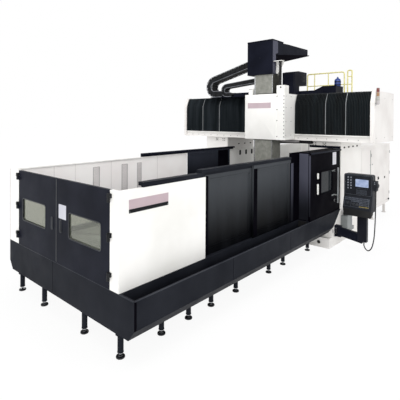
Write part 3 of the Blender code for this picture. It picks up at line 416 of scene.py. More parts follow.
def bellows_cloth(name, dark, light):
    """Polyurethane coated polyester: a 0.5 mm weave drawn at 8 mm, rubbed paler along its runs, with a dull sheen."""
    made, tree, where = begin(name)
    rubbed = add(tree, "ShaderNodeMapping", Vector=where, Scale=(3.0, 9.0, 0.8))
    wear = add(tree, "ShaderNodeTexNoise", Vector=rubbed.outputs["Vector"], Scale=1.0, Detail=4.0)
    colour = mottled(tree, wear.outputs["Fac"], dark, light, 0.38, 0.66)
    warp = add(tree, "ShaderNodeTexWave", {"bands_direction": "Z"}, Vector=where, Scale=20.0, Distortion=0.4)
    weft = add(tree, "ShaderNodeTexWave", {"bands_direction": "Y"}, Vector=where, Scale=20.0, Distortion=0.4)
    weave = add(tree, "ShaderNodeMath", {"operation": "ADD"}, i0=warp.outputs["Fac"], i1=weft.outputs["Fac"])
    threads = add(tree, "ShaderNodeBump", Distance=0.0006, Height=weave.outputs["Value"])
    close(tree, Base_Color=colour, Roughness=0.62, Specular_IOR_Level=0.12, Sheen_Weight=0.06,
          Sheen_Roughness=0.5, Normal=threads.outputs["Normal"])
    return made


def moulded(name, dark, light, roughness, gloss=0.5, grain_scale=90.0, depth=0.0004):
    """Moulded plastic or rubber: a spark-eroded grain of 1 mm, drawn at 10 mm, breaks up the shine."""
    made, tree, where = begin(name)
    cloud = add(tree, "ShaderNodeTexNoise", Vector=where, Scale=6.0, Detail=3.0)
    colour = mottled(tree, cloud.outputs["Fac"], dark, light)
    grain = add(tree, "ShaderNodeTexNoise", Vector=where, Scale=grain_scale, Detail=2.0)
    pitted = add(tree, "ShaderNodeBump", Distance=depth, Height=grain.outputs["Fac"])
    close(tree, Base_Color=colour, Roughness=roughness, Specular_IOR_Level=gloss,
          Normal=pitted.outputs["Normal"])
    return made


def glazing(name, tint, clear=0.9, gloss=0.5):
    """Laminated safety glass: clear or smoked through its body, and a ripple of 0.3 m that shakes its reflections."""
    made, tree, where = begin(name)
    ripple = add(tree, "ShaderNodeTexNoise", Vector=where, Scale=3.0, Detail=1.0)
    rolled = add(tree, "ShaderNodeBump", Distance=0.0006, Height=ripple.outputs["Fac"])
    smear = add(tree, "ShaderNodeTexNoise", Vector=where, Scale=12.0, Detail=4.0)
    dull = add(tree, "ShaderNodeMapRange", Value=smear.outputs["Fac"], From_Min=0.4, From_Max=0.8, To_Min=0.02,
               To_Max=0.12)
    close(tree, Base_Color=linear(tint), Transmission_Weight=clear, IOR=1.5, Roughness=dull.outputs["Result"],
          Specular_IOR_Level=gloss, Normal=rolled.outputs["Normal"])
    return made


def acrylic_lens(name, dark, light):
    """Moulded acrylic lens: saturated body, and upright prisms of 3 mm drawn at 10 mm that split the light."""
    made, tree, where = begin(name)
    ribs = add(tree, "ShaderNodeTexWave", {"bands_direction": "DIAGONAL"}, Vector=where, Scale=30.0)
    colour = add(tree, "ShaderNodeMix", {"data_type": "RGBA"}, Factor=ribs.outputs["Fac"], i6=linear(dark),
                 i7=linear(light))
    prisms = add(tree, "ShaderNodeBump", Distance=0.0008, Height=ribs.outputs["Fac"])
    close(tree, Base_Color=colour.outputs[2], Transmission_Weight=0.2, IOR=1.49, Roughness=0.18,
          Normal=prisms.outputs["Normal"])
    return made


def display_glass():
    """Liquid crystal panel behind glass: a pale blue field, lit unevenly from behind."""
    made, tree, where = begin("backlit_display_glass")
    glow = add(tree, "ShaderNodeTexNoise", Vector=where, Scale=14.0, Detail=2.0)
    colour = mottled(tree, glow.outputs["Fac"], "#8796b8", "#a9b5cf")
    close(tree, Base_Color=colour, Roughness=0.12, Emission_Color=linear("#9fadcc"), Emission_Strength=0.14)
    return made


WHITE_SHEET = powder_coat("powder_coated_white_sheet", "#eae9e5", "#f4f3f0", 0.42)
WHITE_CASTING = enamelled_casting("enamelled_white_casting", "#e6e3df", "#f1efec", 0.46)
# Painted light: the far wall's inner face is a paler copy of the white sheet, standing for light it does not get.
INNER_WHITE_LIT = powder_coat("inner_wall_white_painted_light", "#f5f0ee", "#fbf8f6", 0.5)
CABINET_WHITE = powder_coat("powder_coated_light_cabinet", "#dedad7", "#e9e6e3", 0.45)
CHARCOAL = powder_coat("powder_coated_charcoal_sheet", "#191b23", "#22242d", 0.4, 0.0005, 0.03)
# Painted sheen: these coats run from near black at the foot to paler at the top; the bay's side is also a paler, lit
# copy of the bay's black.
SIDE_DOOR = painted_sheen_coat("charcoal_door_painted_sheen", "#050609", "#424549", 0.85, 1.95, 0.4, 0.06)
FAR_DOOR = painted_sheen_coat("far_door_painted_sheen", "#08090d", "#2e313a", 1.15, 1.95, 0.4, 0.03)
BAY_BLACK = powder_coat("powder_coated_black_bay", "#050409", "#0b0a10", 0.45, 0.0005, 0.006)
BAY_SIDE_LIT = painted_sheen_coat("bay_side_painted_light", "#17181d", "#494a56", 0.9, 1.75, 0.4, 0.06)
GRAPHITE = powder_coat("powder_coated_graphite_sheet", "#1b1d23", "#24262c", 0.45, 0.0007, 0.03)
# Painted highlight: the tray's lips are paler than the tray, standing for light along their rims.
TRAY_LIP = powder_coat("tray_lip_painted_highlight", "#303238", "#3e4046", 0.45, 0.0005, 0.03)
BLACK_COVER = powder_coat("powder_coated_black_cover", "#10121b", "#181a25", 0.42, 0.0005, 0.03)
# Painted light: a paler copy of the black cover for the ram cover's lit side.
COVER_SIDE = powder_coat("black_cover_side_painted_light", "#40414e", "#4d4e5c", 0.42, 0.0005, 0.1)
ENAMEL_GREY = powder_coat("sprayed_grey_enamel", "#777b7b", "#8a8e8e", 0.45)
YELLOW = powder_coat("safety_yellow_enamel", "#cfc781", "#dcd69c", 0.4)
BLUE = powder_coat("blue_enamel_vessel", "#14306f", "#27489a", 0.3)
PALE_PLATE = powder_coat("satin_pale_plate", "#b7b9c3", "#cbccd5", 0.35)
ROSE_PLATE = powder_coat("satin_rose_plate", "#b3a0a6", "#c0adb3", 0.35)
DARK_PLATE = powder_coat("satin_black_plate", "#141518", "#1e1f23", 0.35, 0.0005, 0.1)
SEAM_GREY = powder_coat("shadowed_sheet_joint", "#c2bcbb", "#cfc9c8", 0.6)
LOUVRE_GREY = powder_coat("powder_coated_grey_louvre", "#b0abac", "#bdb9b9", 0.5)
RAM_IRON = scraped_iron("scraped_cast_iron_ram", "#797a73", "#979790")
SCALE_COVER = scraped_iron("oiled_dark_scale_cover", "#2a2a26", "#4a4a43")
TABLE_STEEL = drawn_steel("ground_cast_iron_table", "#77787a", "#97989a", 0.36, (6.0, 120.0, 120.0))
COVER_STEEL = drawn_steel("brushed_stainless_way_cover", "#737678", "#9b9ea0", 0.32, (120.0, 5.0, 120.0))
SPINDLE_STEEL = drawn_steel("polished_spindle_steel", "#a0a2a4", "#c4c6c8", 0.2, (40.0, 40.0, 200.0))
ZINC = drawn_steel("zinc_plated_fastener", "#9a9c9c", "#b9bbba", 0.35, (60.0, 60.0, 60.0))
BLACK_OXIDE = drawn_steel("black_oxide_screw", "#232426", "#343537", 0.45, (60.0, 60.0, 60.0))
SATIN_STRIP = drawn_steel("anodised_aluminium_strip", "#85888a", "#a3a6a8", 0.42, (30.0, 30.0, 8.0))
BELLOWS = bellows_cloth("coated_bellows_cloth", "#04090c", "#10181c")
# Painted light: the far bellows are a paler copy of the same cloth.
BELLOWS_FAR_LIT = bellows_cloth("far_bellows_cloth_painted_light", "#0d1418", "#23292e")
# Pale beads along both edges of the chains, lighter than the black links.
CHAIN_EDGE = moulded("pale_nylon_edge", "#63666c", "#7c7f85", 0.5, 0.3)
NYLON = moulded("moulded_nylon_link", "#0b0c0e", "#15171a", 0.42, 0.2)
ABS_BLACK = moulded("moulded_abs_housing", "#1a1c21", "#24272d", 0.48, 0.12)
RUBBER = moulded("moulded_black_rubber", "#0b0b0c", "#151516", 0.6, 0.3)
PVC_CABLE = moulded("extruded_pvc_cable", "#131416", "#1f2022", 0.5, 0.35, 60.0, 0.0003)
WHITE_PULL = moulded("moulded_white_pull", "#dfdfdb", "#edede9", 0.4)
PENDANT_EDGE = moulded("moulded_abs_edge", "#2c2f35", "#3a3e45", 0.42, 0.3)
ARM_BLACK = powder_coat("powder_coated_arm", "#0f1016", "#181922", 0.36, 0.0005, 0.1)
FOOT_BLACK = powder_coat("painted_cast_foot", "#0c0c0e", "#161618", 0.3, 0.0005, 0.5)
MOTOR_GREY = powder_coat("sprayed_dark_motor", "#3c3f41", "#4d5153", 0.4)
DARK_PULL = moulded("moulded_dark_pull", "#22252a", "#2f3237", 0.4, 0.3)
KEY_GREY = moulded("moulded_grey_key", "#434852", "#595f6a", 0.45, 0.3)
KEY_PALE = moulded("moulded_pale_key", "#747881", "#90949c", 0.45, 0.3)
KEY_AMBER = moulded("moulded_amber_key", "#8a7a3c", "#a2924e", 0.4)
GLASS = glazing("laminated_safety_glass", "#b7bbaa")
GLASS_DARK = glazing("smoked_safety_glass", "#24282c", 0.12, 0.04)
LENS_RED = acrylic_lens("red_acrylic_lens", "#6a302d", "#8e4a42")
LENS_AMBER = acrylic_lens("amber_acrylic_lens", "#96704e", "#b58f69")
LENS_CLEAR = acrylic_lens("clear_acrylic_lens", "#9c9c95", "#c2c2bb")
SCREEN = display_glass()

NODE_FINISH = {
    "bed": WHITE_CASTING, "work_table": TABLE_STEEL, "way_cover_front": COVER_STEEL, "way_cover_rear": COVER_STEEL,
    "column_near": WHITE_CASTING, "column_far": WHITE_CASTING, "cross_beam": WHITE_CASTING,
    "beam_cover_near": CABINET_WHITE, "beam_cover_far": CABINET_WHITE, "tray_front": GRAPHITE, "tray_rear": GRAPHITE,
    "legs_front_near": GRAPHITE, "legs_front_far": GRAPHITE, "legs_rear_near": GRAPHITE, "legs_rear_far": GRAPHITE,
    "side_panel_near": WHITE_SHEET, "side_door_front": SIDE_DOOR, "side_door_rear": SIDE_DOOR,
    "door_rail_inner": GRAPHITE, "door_rail_outer": GRAPHITE, "bay_panel": BAY_BLACK, "operator_door": BAY_BLACK,
    "operator_door_pane": GLASS_DARK, "corner_post_near": WHITE_SHEET, "corner_post_far": WHITE_SHEET,
    "end_door_left": CHARCOAL, "end_door_left_pane": GLASS, "end_door_right": CHARCOAL, "end_door_right_pane": GLASS,
    "far_wall_front": INNER_WHITE_LIT, "far_rail": BLACK_COVER, "far_door": FAR_DOOR, "rear_guard_near": WHITE_SHEET,
    "rear_guard_far": WHITE_SHEET, "rear_doors": CHARCOAL, "saddle": WHITE_SHEET, "ram": RAM_IRON,
    "spindle_nose": SPINDLE_STEEL, "ram_cover": BLACK_COVER, "chain_tray": BLACK_COVER, "head_cabinet": BLACK_COVER,
    "beam_drive_cover": BLACK_COVER, "accumulator": BLUE, "guard_rail": YELLOW, "signal_lamp": LENS_CLEAR,
    "electrical_cabinet": CABINET_WHITE, "cabinet_stand": CABINET_WHITE, "lubrication_unit": ENAMEL_GREY,
    "pendant_bracket": BLACK_COVER, "pendant_arm": BLACK_COVER, "pendant_head": ABS_BLACK, "handwheel": ENAMEL_GREY,
    "bellows_far": BELLOWS_FAR_LIT, "bellows_near": BELLOWS, "chain_outer": NYLON, "chain_inner": NYLON,
    "pendant_cable": PVC_CABLE,
}
for name, chosen in NODE_FINISH.items():
    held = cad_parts[name]
    held.data.materials.clear()
    held.data.materials.append(chosen)


# Camera, floor and light

def look_from():
    """Camera of the photograph: 376.6 px focal length in a 400 px frame, 2.7 m up, turned 48.6 degrees from +Y."""
    forward = np.array([math.sin(YAW) * math.cos(PITCH), math.cos(YAW) * math.cos(PITCH), -math.sin(PITCH)])
    right = np.array([math.cos(YAW), -math.sin(YAW), 0.0])
    down = np.cross(forward, right)
    turned_right = math.cos(ROLL) * right + math.sin(ROLL) * down
    turned_down = -math.sin(ROLL) * right + math.cos(ROLL) * down
    data = bpy.data.cameras.new("photo_camera")
    data.sensor_width = SENSOR
    data.lens = SENSOR * FOCAL_PIXELS / PHOTO_PIXELS
    data.shift_y = (CENTRE_ROW - PHOTO_PIXELS / 2) / PHOTO_PIXELS
    data.clip_end = 200.0
    camera = bpy.data.objects.new("photo_camera", data)
    bpy.context.scene.collection.objects.link(camera)
    matrix = np.eye(4)
    matrix[:3, 0], matrix[:3, 1], matrix[:3, 2] = turned_right, -turned_down, -forward
    matrix[:3, 3] = CAMERA_PLACE
    camera.matrix_world = Matrix(matrix.tolist())
    bpy.context.scene.camera = camera


def seen_share(tree):
    """1 for what the camera, a reflection or glass sees, 0 for what only lights the object."""
    path = add(tree, "ShaderNodeLightPath")
    either = add(tree, "ShaderNodeMath", {"operation": "MAXIMUM"}, i0=path.outputs["Is Camera Ray"],
                 i1=path.outputs["Is Glossy Ray"])
    return add(tree, "ShaderNodeMath", {"operation": "MAXIMUM"}, i0=either.outputs["Value"],
               i1=path.outputs["Is Transmission Ray"]).outputs["Value"]


def studio():
    """Pale floor that keeps the shadow, even white world and four large soft lamps."""
    world = bpy.data.worlds.new("studio")
    bpy.context.scene.world = world
    world.use_nodes = True
    tree = world.node_tree
    tree.nodes.clear()
    strength = add(tree, "ShaderNodeMapRange", Value=seen_share(tree), To_Min=WORLD_LIGHT, To_Max=1.0)
    back = add(tree, "ShaderNodeBackground", Color=(1, 1, 1, 1), Strength=strength.outputs["Result"])
    add(tree, "ShaderNodeOutputWorld", Surface=back.outputs["Background"])
    mesh = bpy.data.meshes.new("floor")
    corners = [(a * FLOOR_HALF, b * FLOOR_HALF, 0) for a, b in ((-1, -1), (1, -1), (1, 1), (-1, 1))]
    mesh.from_pydata(corners, [], [(0, 1, 2, 3)])
    floor = bpy.data.objects.new("floor", mesh)
    bpy.context.scene.collection.objects.link(floor)
    paper = bpy.data.materials.new("seamless_white_floor")
    paper.use_nodes = True
    tree = paper.node_tree
    tree.nodes.clear()
    matt = add(tree, "ShaderNodeBsdfPrincipled", Base_Color=(0.9, 0.9, 0.9, 1.0), Roughness=0.9)
    share = add(tree, "ShaderNodeMath", {"operation": "MULTIPLY"}, i0=seen_share(tree), i1=0.9)
    glow = add(tree, "ShaderNodeEmission", Color=(1, 1, 1, 1), Strength=1.02)
    both = add(tree, "ShaderNodeMixShader", Fac=share.outputs["Value"], i1=matt.outputs["BSDF"],
               i2=glow.outputs["Emission"])
    add(tree, "ShaderNodeOutputMaterial", Surface=both.outputs["Shader"])
    mesh.materials.append(paper)
    for name, place, aim, size, power in LAMPS:
        data = bpy.data.lights.new(name, "AREA")
        data.shape = "DISK"
        data.size = size
        data.energy = power
        lamp = bpy.data.objects.new(name, data)
        lamp.visible_camera = False
        bpy.context.scene.collection.objects.link(lamp)
        back = np.array(place) - np.array(aim)
        back /= np.linalg.norm(back)
        right = np.cross([0.0, 1.0, 0.0], back)
        right /= np.linalg.norm(right)
        matrix = np.eye(4)
        matrix[:3, 0], matrix[:3, 1], matrix[:3, 2], matrix[:3, 3] = right, np.cross(back, right), back, place
        lamp.matrix_world = Matrix(matrix.tolist())
    bpy.context.scene.view_settings.view_transform = "Standard"


look_from()
studio()


# The pendant's hanging cable

def pendant_cable():
    """Sheath as a tube along the model's own route: down from the handwheel box, one hanging loop, up into the post;
    its strain relief is a turned taper."""
    x, end = POST_X, -2.62
    keys = [(x, HEAD_NEAR - 0.035, 1.3297), (x, HEAD_NEAR - 0.035, 1.20), (x, HEAD_NEAR - 0.03, 0.80),
            (x, HEAD_NEAR - 0.015, 0.45), (x, HEAD_NEAR + 0.01, 0.27), (x, HEAD_NEAR + 0.045, 0.165),
            (x, HEAD_NEAR + 0.10, 0.115), (x, end - 0.03, 0.145), (x, end, 0.205), (x, end, 0.24), (x, end, 0.2797)]
    path = eased(keys, 6)
    made = piece("pendant_cable_sheath", pipe(path, 0.011, 12), PVC_CABLE, "pendant")
    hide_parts("pendant_cable")
    profile = [(0.0115, 0.0), (0.0145, 0.0), (0.016, -0.004), (0.0135, -0.028), (0.0115, -0.03)]
    relief = piece("cable_strain_relief", turned(profile, keys[0], "z", 12), RUBBER, "pendant")


pendant_cable()


# Bellows and cable chains

def bellows(name, low, high, blend, strips):
    """Pleated cloth: an outline whose depth follows a triangle wave of Y, from the fold ridges to the valleys, moved
    along its own inward normals. The strips are thin frames clipped over single ridges."""
    front, knee, top, back = BEAM_LIP - 0.03, BEAM_TOP - 0.15, BEAM_TOP + 0.09, BEAM_LIP + 0.37
    outline = softened([(back, BEAM_LEDGE + 0.001), (front, BEAM_LEDGE + 0.001), (front, knee), (front + 0.10, top),
                        (back, top)], (0.004, 0.012, 0.06, 0.03, 0.004), 3)
    count = round((high - low) / PLEAT_PITCH)
    y = np.linspace(low, high, 4 * count + 1)
    phase = (y - low) / (high - low) * count % 1.0
    depth = PLEAT_DEPTH * (1 - np.abs(2 * phase - 1) ** 0.85)
    depth[[0, -1]] = 0.002
    inward = shrunk(outline, 1.0) - outline
    inward[outline[:, 0] > back - 0.01] = 0.0
    section = outline[None] + inward[None] * (PLEAT_DEPTH - depth)[:, None, None]
    grid = np.empty((len(y), len(outline), 3))
    grid[..., 0], grid[..., 1], grid[..., 2] = section[..., 0], y[:, None], section[..., 1]
    middle = outline.mean(0)
    caps = [np.broadcast_to([middle[0], level, middle[1]], grid[:1].shape) for level in (low, high)]
    cloth = piece(f"{name}_cloth", shell(np.concatenate([caps[0], grid, caps[1]])), NODE_FINISH[name], blend,
                  30)
    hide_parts(name)
    face = [(front - 0.004, BEAM_LEDGE + 0.006), (front - 0.004, knee), (front + 0.096, top - 0.02)]
    outer = np.array(face + [(front + 0.10, top - 0.02), (front + 0.003, knee), (front + 0.003, BEAM_LEDGE + 0.006)])
    bands = [strip_of(outer, place - 0.007, place + 0.007) for place in strips]
    piece(f"{name}_strips", joined(*bands), SATIN_STRIP, blend)


def strip_of(outline, low, high):
    """Thin closed section in X and Z carried a short way along Y."""
    middle = np.broadcast_to(outline.mean(0), outline.shape)
    rings = []
    for flat, level in ((middle, low), (outline, low), (outline, high), (middle, high)):
        ring_points = np.empty((len(flat), 3))
        ring_points[:, 0], ring_points[:, 1], ring_points[:, 2] = flat[:, 0], level, flat[:, 1]
        rings.append(ring_points)
    return shell(np.stack(rings))


def chain_path(start, centre, radius, end):
    """Line in Y and Z: level out of its bracket, straight down to a bend that it meets as a tangent, round the bend and
    level along the tray. The bend's first angle is the start's bearing less acos(radius / distance)."""
    over, up = start[0] - centre[0], start[1] - centre[1]
    first = math.atan2(up, over) - math.acos(radius / math.hypot(over, up))
    angle = np.linspace(first, -math.pi / 2, 40)
    arc = np.stack([centre[0] + radius * np.cos(angle), centre[1] + radius * np.sin(angle)], -1)
    line = np.concatenate([[(start[0] - 0.06, start[1])], [start], arc, [(end, centre[1] - radius)]])
    fine = np.linspace(0, 1, 25)[:, None]
    towards = line[1] + 0.06 * (line[2] - line[1])
    softer = (1 - fine) ** 2 * line[0] + 2 * fine * (1 - fine) * line[1] + fine ** 2 * towards
    line = np.concatenate([softer, line[2:]])
    run = np.concatenate([[0], np.cumsum(np.linalg.norm(np.diff(line, axis=0), axis=1))])
    return line, run


def cable_chain(name, node, path, x, thick, pitch, cables):
    """Linked chain: each link is two oval side plates, offset in turn, two cross bars and two pins, set along the path
    at one pitch; cables run through as tubes, and thin beads edge both sides."""
    line, run = path
    count = int(run[-1] // pitch)
    spot = (np.arange(count) + 0.5) * run[-1] / count
    y, z = np.interp(spot, run, line[:, 0]), np.interp(spot, run, line[:, 1])
    ahead, behind = np.clip(spot + 0.02, 0, run[-1]), np.clip(spot - 0.02, 0, run[-1])
    way = np.stack([np.interp(ahead, run, line[:, i]) - np.interp(behind, run, line[:, i]) for i in (0, 1)], -1)
    way /= np.linalg.norm(way, axis=1)[:, None]
    half, reach = thick / 2, pitch * 0.86

    def link(inset):
        """One link in its own frame: x across, y along, z out of the bend."""
        plate = slab(oblong(-reach, reach, -half, half, half * 0.9, 3), "x", 0.0, LINK_PLATE, 0.003, 1)
        pin = turned([(0, -0.004), (0.014, -0.004), (0.016, 0.0), (0.016, 0.012), (0.014, 0.015), (0, 0.015)],
                     (0, pitch / 2, 0), "x", 8)
        bar = slab(oblong(-0.014, 0.014, -0.006, 0.006, 0.004, 1), "x", x[0] + 0.012, x[1] - 0.012, 0.002, 1)
        sides = copies(joined(plate, pin), [(x[0] + inset, 0, 0), (x[1] - inset - LINK_PLATE, 0, 0)])
        return joined(sides, copies(bar, [(0, 0, half - 0.007), (0, 0, 0.007 - half)]))

    parts = []
    for turn, inset in enumerate((0.0, 0.012)):
        points, faces = link(inset)
        pick = slice(turn, None, 2)
        a, b, w = y[pick, None], z[pick, None], way[pick]
        placed = np.empty((len(a), len(points), 3))
        placed[..., 0] = points[None, :, 0]
        placed[..., 1] = a + points[None, :, 1] * w[:, :1] - points[None, :, 2] * w[:, 1:]
        placed[..., 2] = b + points[None, :, 1] * w[:, 1:] + points[None, :, 2] * w[:, :1]
        parts.append(repeated(placed, faces))
    blend = ("saddle", "ram", (x[0], 0.5, line[:, 1].min()), (x[0], 0.5, line[0, 1] - 0.03))
    made = piece(f"{name}_links", joined(*parts), NYLON, blend)
    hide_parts(node)
    even = np.linspace(0, run[-1], CHAIN_SAMPLES)
    core = np.stack([np.interp(even, run, line[:, 0]), np.interp(even, run, line[:, 1])], -1)
    tubes = []
    for place, radius in cables:
        route = np.concatenate([np.full((CHAIN_SAMPLES, 1), x[0] + place), core], 1)
        tubes.append(pipe(route, radius, 8))
    piece(f"{name}_cables", joined(*tubes), PVC_CABLE, blend)
    across = np.stack([-np.gradient(core[:, 1]), np.gradient(core[:, 0])], -1)
    across /= np.linalg.norm(across, axis=1)[:, None]
    beads = []
    for side in (-half, half):
        for at in (x[0] - 0.002, x[1] + 0.002):
            edge = core + across * side
            beads.append(pipe(np.concatenate([np.full((CHAIN_SAMPLES, 1), at), edge], 1), 0.0075, 8))
    piece(f"{name}_edge_beads", joined(*beads), CHAIN_EDGE, blend)


bellows("bellows_far", SADDLE_FAR + 0.005, BEAM_HALF - 0.005,
        ("machine", "saddle", (0.6, BEAM_HALF - 0.005, 2.8), (0.6, SADDLE_FAR + 0.005, 2.8)), (1.96, 1.36))
bellows("bellows_near", -BEAM_HALF + 0.005, SADDLE_NEAR - 0.005,
        ("machine", "saddle", (0.6, -BEAM_HALF + 0.005, 2.8), (0.6, SADDLE_NEAR - 0.005, 2.8)), (-1.66, -2.11))
cable_chain("outer_chain", "chain_outer",
            chain_path((RAM_FAR + 0.2303, 4.12), (1.36, CHAIN_TRAY_TOP + 0.2753), 0.20, 1.12),
            (0.31, 0.61), 0.15, 0.075, ((0.05, 0.016), (0.10, 0.018), (0.16, 0.014), (0.21, 0.018), (0.255, 0.012)))
cable_chain("inner_chain", "chain_inner",
            chain_path((RAM_FAR + 0.0603, 3.70), (0.98, CHAIN_TRAY_TOP + 0.1653), 0.115, 0.82),
            (0.34, 0.56), 0.10, 0.06, ((0.04, 0.012), (0.085, 0.014), (0.13, 0.010), (0.18, 0.012)))


# Sliding doors, end doors and panels

def pressed_border(x, z, floor, rise):
    """Raised border in a door's recess: a rectangle's outline and the same one shrunk by 30 mm, joined as a frame."""
    outer = oblong(z[0] + 0.004, z[1] - 0.004, x[0] + 0.004, x[1] - 0.004, 0.006, 2)
    return ring(outer, shrunk(outer, 0.03), "y", *sorted((floor, floor + rise)), 0.002)


def sliding_doors():
    """Borders pressed into the inset panels, and black strips of painted shade: in the gaps along the doors' upright
    edges, and over the far door's shaded end. The inset panels start 80 mm over the doors' feet."""
    low = GUARD_LOW + 0.0063 + 0.08
    for name, x, z, face in (("side_door_front", (-3.55, -2.44), (low, 1.855), -1.645),
                             ("side_door_rear", (-2.29, -1.22), (low, 1.895), -1.695),
                             ("far_door", (-0.91, 0.61), (low, 1.87), 1.105)):
        piece(f"{name}_border", pressed_border(x, z, face + 0.012, -0.008), NODE_FINISH[name], name)
    # Painted shade: black strips where the gaps between the doors and the far door's end lie in shadow.
    for name, x, face in (("side_door_front", (-3.562, -3.505), -1.645), ("side_door_rear", (-2.398, -2.293), -1.695),
                          ("side_door_rear", (-1.165, -1.132), -1.695), ("far_door", (0.17, 0.60), 1.105)):
        shade_strip = slab(oblong(0.775, 1.90, *x, 0.004, 2), "y", face - 0.0018, face + 0.001, 0.001, 1)
        piece(f"{name}_seal_{abs(round(100 * x[0]))}", shade_strip, BAY_BLACK, name)


def window_frame(y, z, axis, face, name, body, out):
    """Rubber profile round a pane: an outline 9 mm outside the opening and one 5 mm inside it, joined as a frame."""
    middle = oblong(*y, *z, 0.04, 4)
    outer, inner = shrunk(middle, -0.009), shrunk(middle, 0.005)
    piece(name, ring(outer, inner, axis, *sorted((face, face + out)), 0.002), DARK_PULL, body)


def end_doors():
    """Gaskets, flush pulls, hinges with their leaves and screws, a bare plate, the strip that covers the doors' gap,
    and a grey line of painted shade along the fold of a corner post."""
    x = GUARD_FRONT
    for body, y, handle, hinge, way in (("end_door_right", (-1.35, -0.625), -0.42, -1.5225, 1),
                                        ("end_door_left", (0.002, 0.725), -0.19, 0.8675, -1)):
        window_frame(y, (1.155, 1.485), "x", x + 0.001, f"{body}_gasket", body, -0.006)
        cup = oblong(handle - 0.028, handle + 0.028, 1.185, 1.36, 0.02, 4)
        rim = ring(cup, shrunk(cup, 0.010), "x", x - 0.007, x + 0.001, 0.002)
        grip = slab(oblong(handle - 0.008, handle + 0.008, 1.20, 1.345, 0.006, 3), "x", x - 0.010, x + 0.001, 0.003)
        floor = slab(shrunk(cup, 0.008), "x", x - 0.0015, x + 0.001, 0.0004, 1)
        piece(f"{body}_pull", joined(rim, grip, floor), DARK_PULL, body)
        leaf = slab(oblong(min(hinge + way * 0.03, hinge + way * 0.085), max(hinge + way * 0.03, hinge + way * 0.085),
                           0.862, 0.908, 0.006, 2), "x", x - 0.005, x, 0.0012, 1)
        levels = [(0, 0, HINGE_PITCH * i) for i in range(3)]
        leaves = copies(leaf, levels)
        heads = screws([(x - 0.005, hinge + way * (0.045 + 0.024 * k), 0.885 + HINGE_PITCH * i) for i in range(3)
                        for k in range(2)], "x", 0.006, 0.004)
        piece(f"{body}_hinge_leaves", joined(leaves, heads), CHARCOAL, body)
        reach = sorted((hinge - way * 0.0415, hinge + way * 0.003))
        tab = box((x - 0.030, x - 0.0005), reach, (0.9095, 0.961), 0.003, 0.004)
        sleeve = turned([(0, 0.858), (0.0125, 0.858), (0.0165, 0.862), (0.0165, 0.9585), (0.0125, 0.963), (0, 0.963)],
                        (x - 0.022, hinge, 0), "z", 16)
        piece(f"{body}_hinges", copies(joined(tab, sleeve), levels), BLACK_OXIDE, "machine")
    overlap = box((x - 0.003, x + 0.0005), (-0.309, -0.2985), (0.77, 1.895), 0.001, 0.001)
    piece("end_door_overlap", overlap, MOTOR_GREY, "end_door_right")
    # Painted shade: a grey strip along the corner post's far edge stands for the shadow of its fold.
    edge = box((x - 0.002, x + 0.001), (1.176, 1.1895), (0.758, 1.897), 0.001, 0.001)
    piece("corner_post_fold_shade", edge, SEAM_GREY, "machine")
    plate = slab(oblong(-0.56, -0.37, 1.375, 1.565, 0.004, 2), "x", x - 0.0025, x, 0.0008, 1)
    piece("end_door_plate", plate, PALE_PLATE, "end_door_right")


def side_panel():
    """Bare two-colour plate on the white panel with its rivets."""
    y = NEAR_WALL
    for name, low, high, finish, slot in (("side_panel_plate", 1.676, 1.786, ROSE_PLATE, "sheet_steel"),
                                          ("side_panel_plate_base", 1.630, 1.675, DARK_PLATE, "cover_black")):
        piece(name, slab(oblong(low, high, -4.96, -4.34, 0.004, 2), "y", y - 0.003, y, 0.001, 1), finish, "machine")
    piece("side_panel_rivets", screws([(x, y - 0.003, z) for x in (-4.945, -4.355) for z in (1.77, 1.645)], "y", 0.005,
                                      0.002), ZINC, "machine")


def far_wall():
    """Upright seams, three finned louvres and a stiffening fold along the top of the inner face."""
    y = FAR_WALL - 0.04
    seams = [box((x - 0.003, x + 0.003), (y - 0.0015, y + 0.001), (0.80, 1.885), 0.0005, 0.0005)
             for x in (-4.376, -3.968, -3.182, -1.95)]
    piece("far_wall_seams", joined(*seams), SEAM_GREY, "machine")
    for i, (x0, x1) in enumerate(((-3.60, -3.45), (-2.93, -2.78), (-2.53, -2.41))):
        outer = oblong(0.93, 1.79, x0, x1, 0.008, 2)
        parts = [ring(outer, shrunk(outer, 0.012), "y", y - 0.008, y + 0.001, 0.002)]
        fins = np.linspace(x0 + 0.018, x1 - 0.018, 6)
        parts += [slab(oblong(0.945, 1.775, x - 0.005, x + 0.005, 0.003, 1), "y", y - 0.006, y + 0.001, 0.002, 1)
                  for x in fins]
        piece(f"far_wall_louvre_{i}", joined(*parts), LOUVRE_GREY, "machine")
    fold = box((-5.05, -2.41), (y - 0.014, y + 0.001), (1.872, 1.899), 0.002, 0.002)
    piece("far_wall_fold", fold, WHITE_SHEET, "machine")


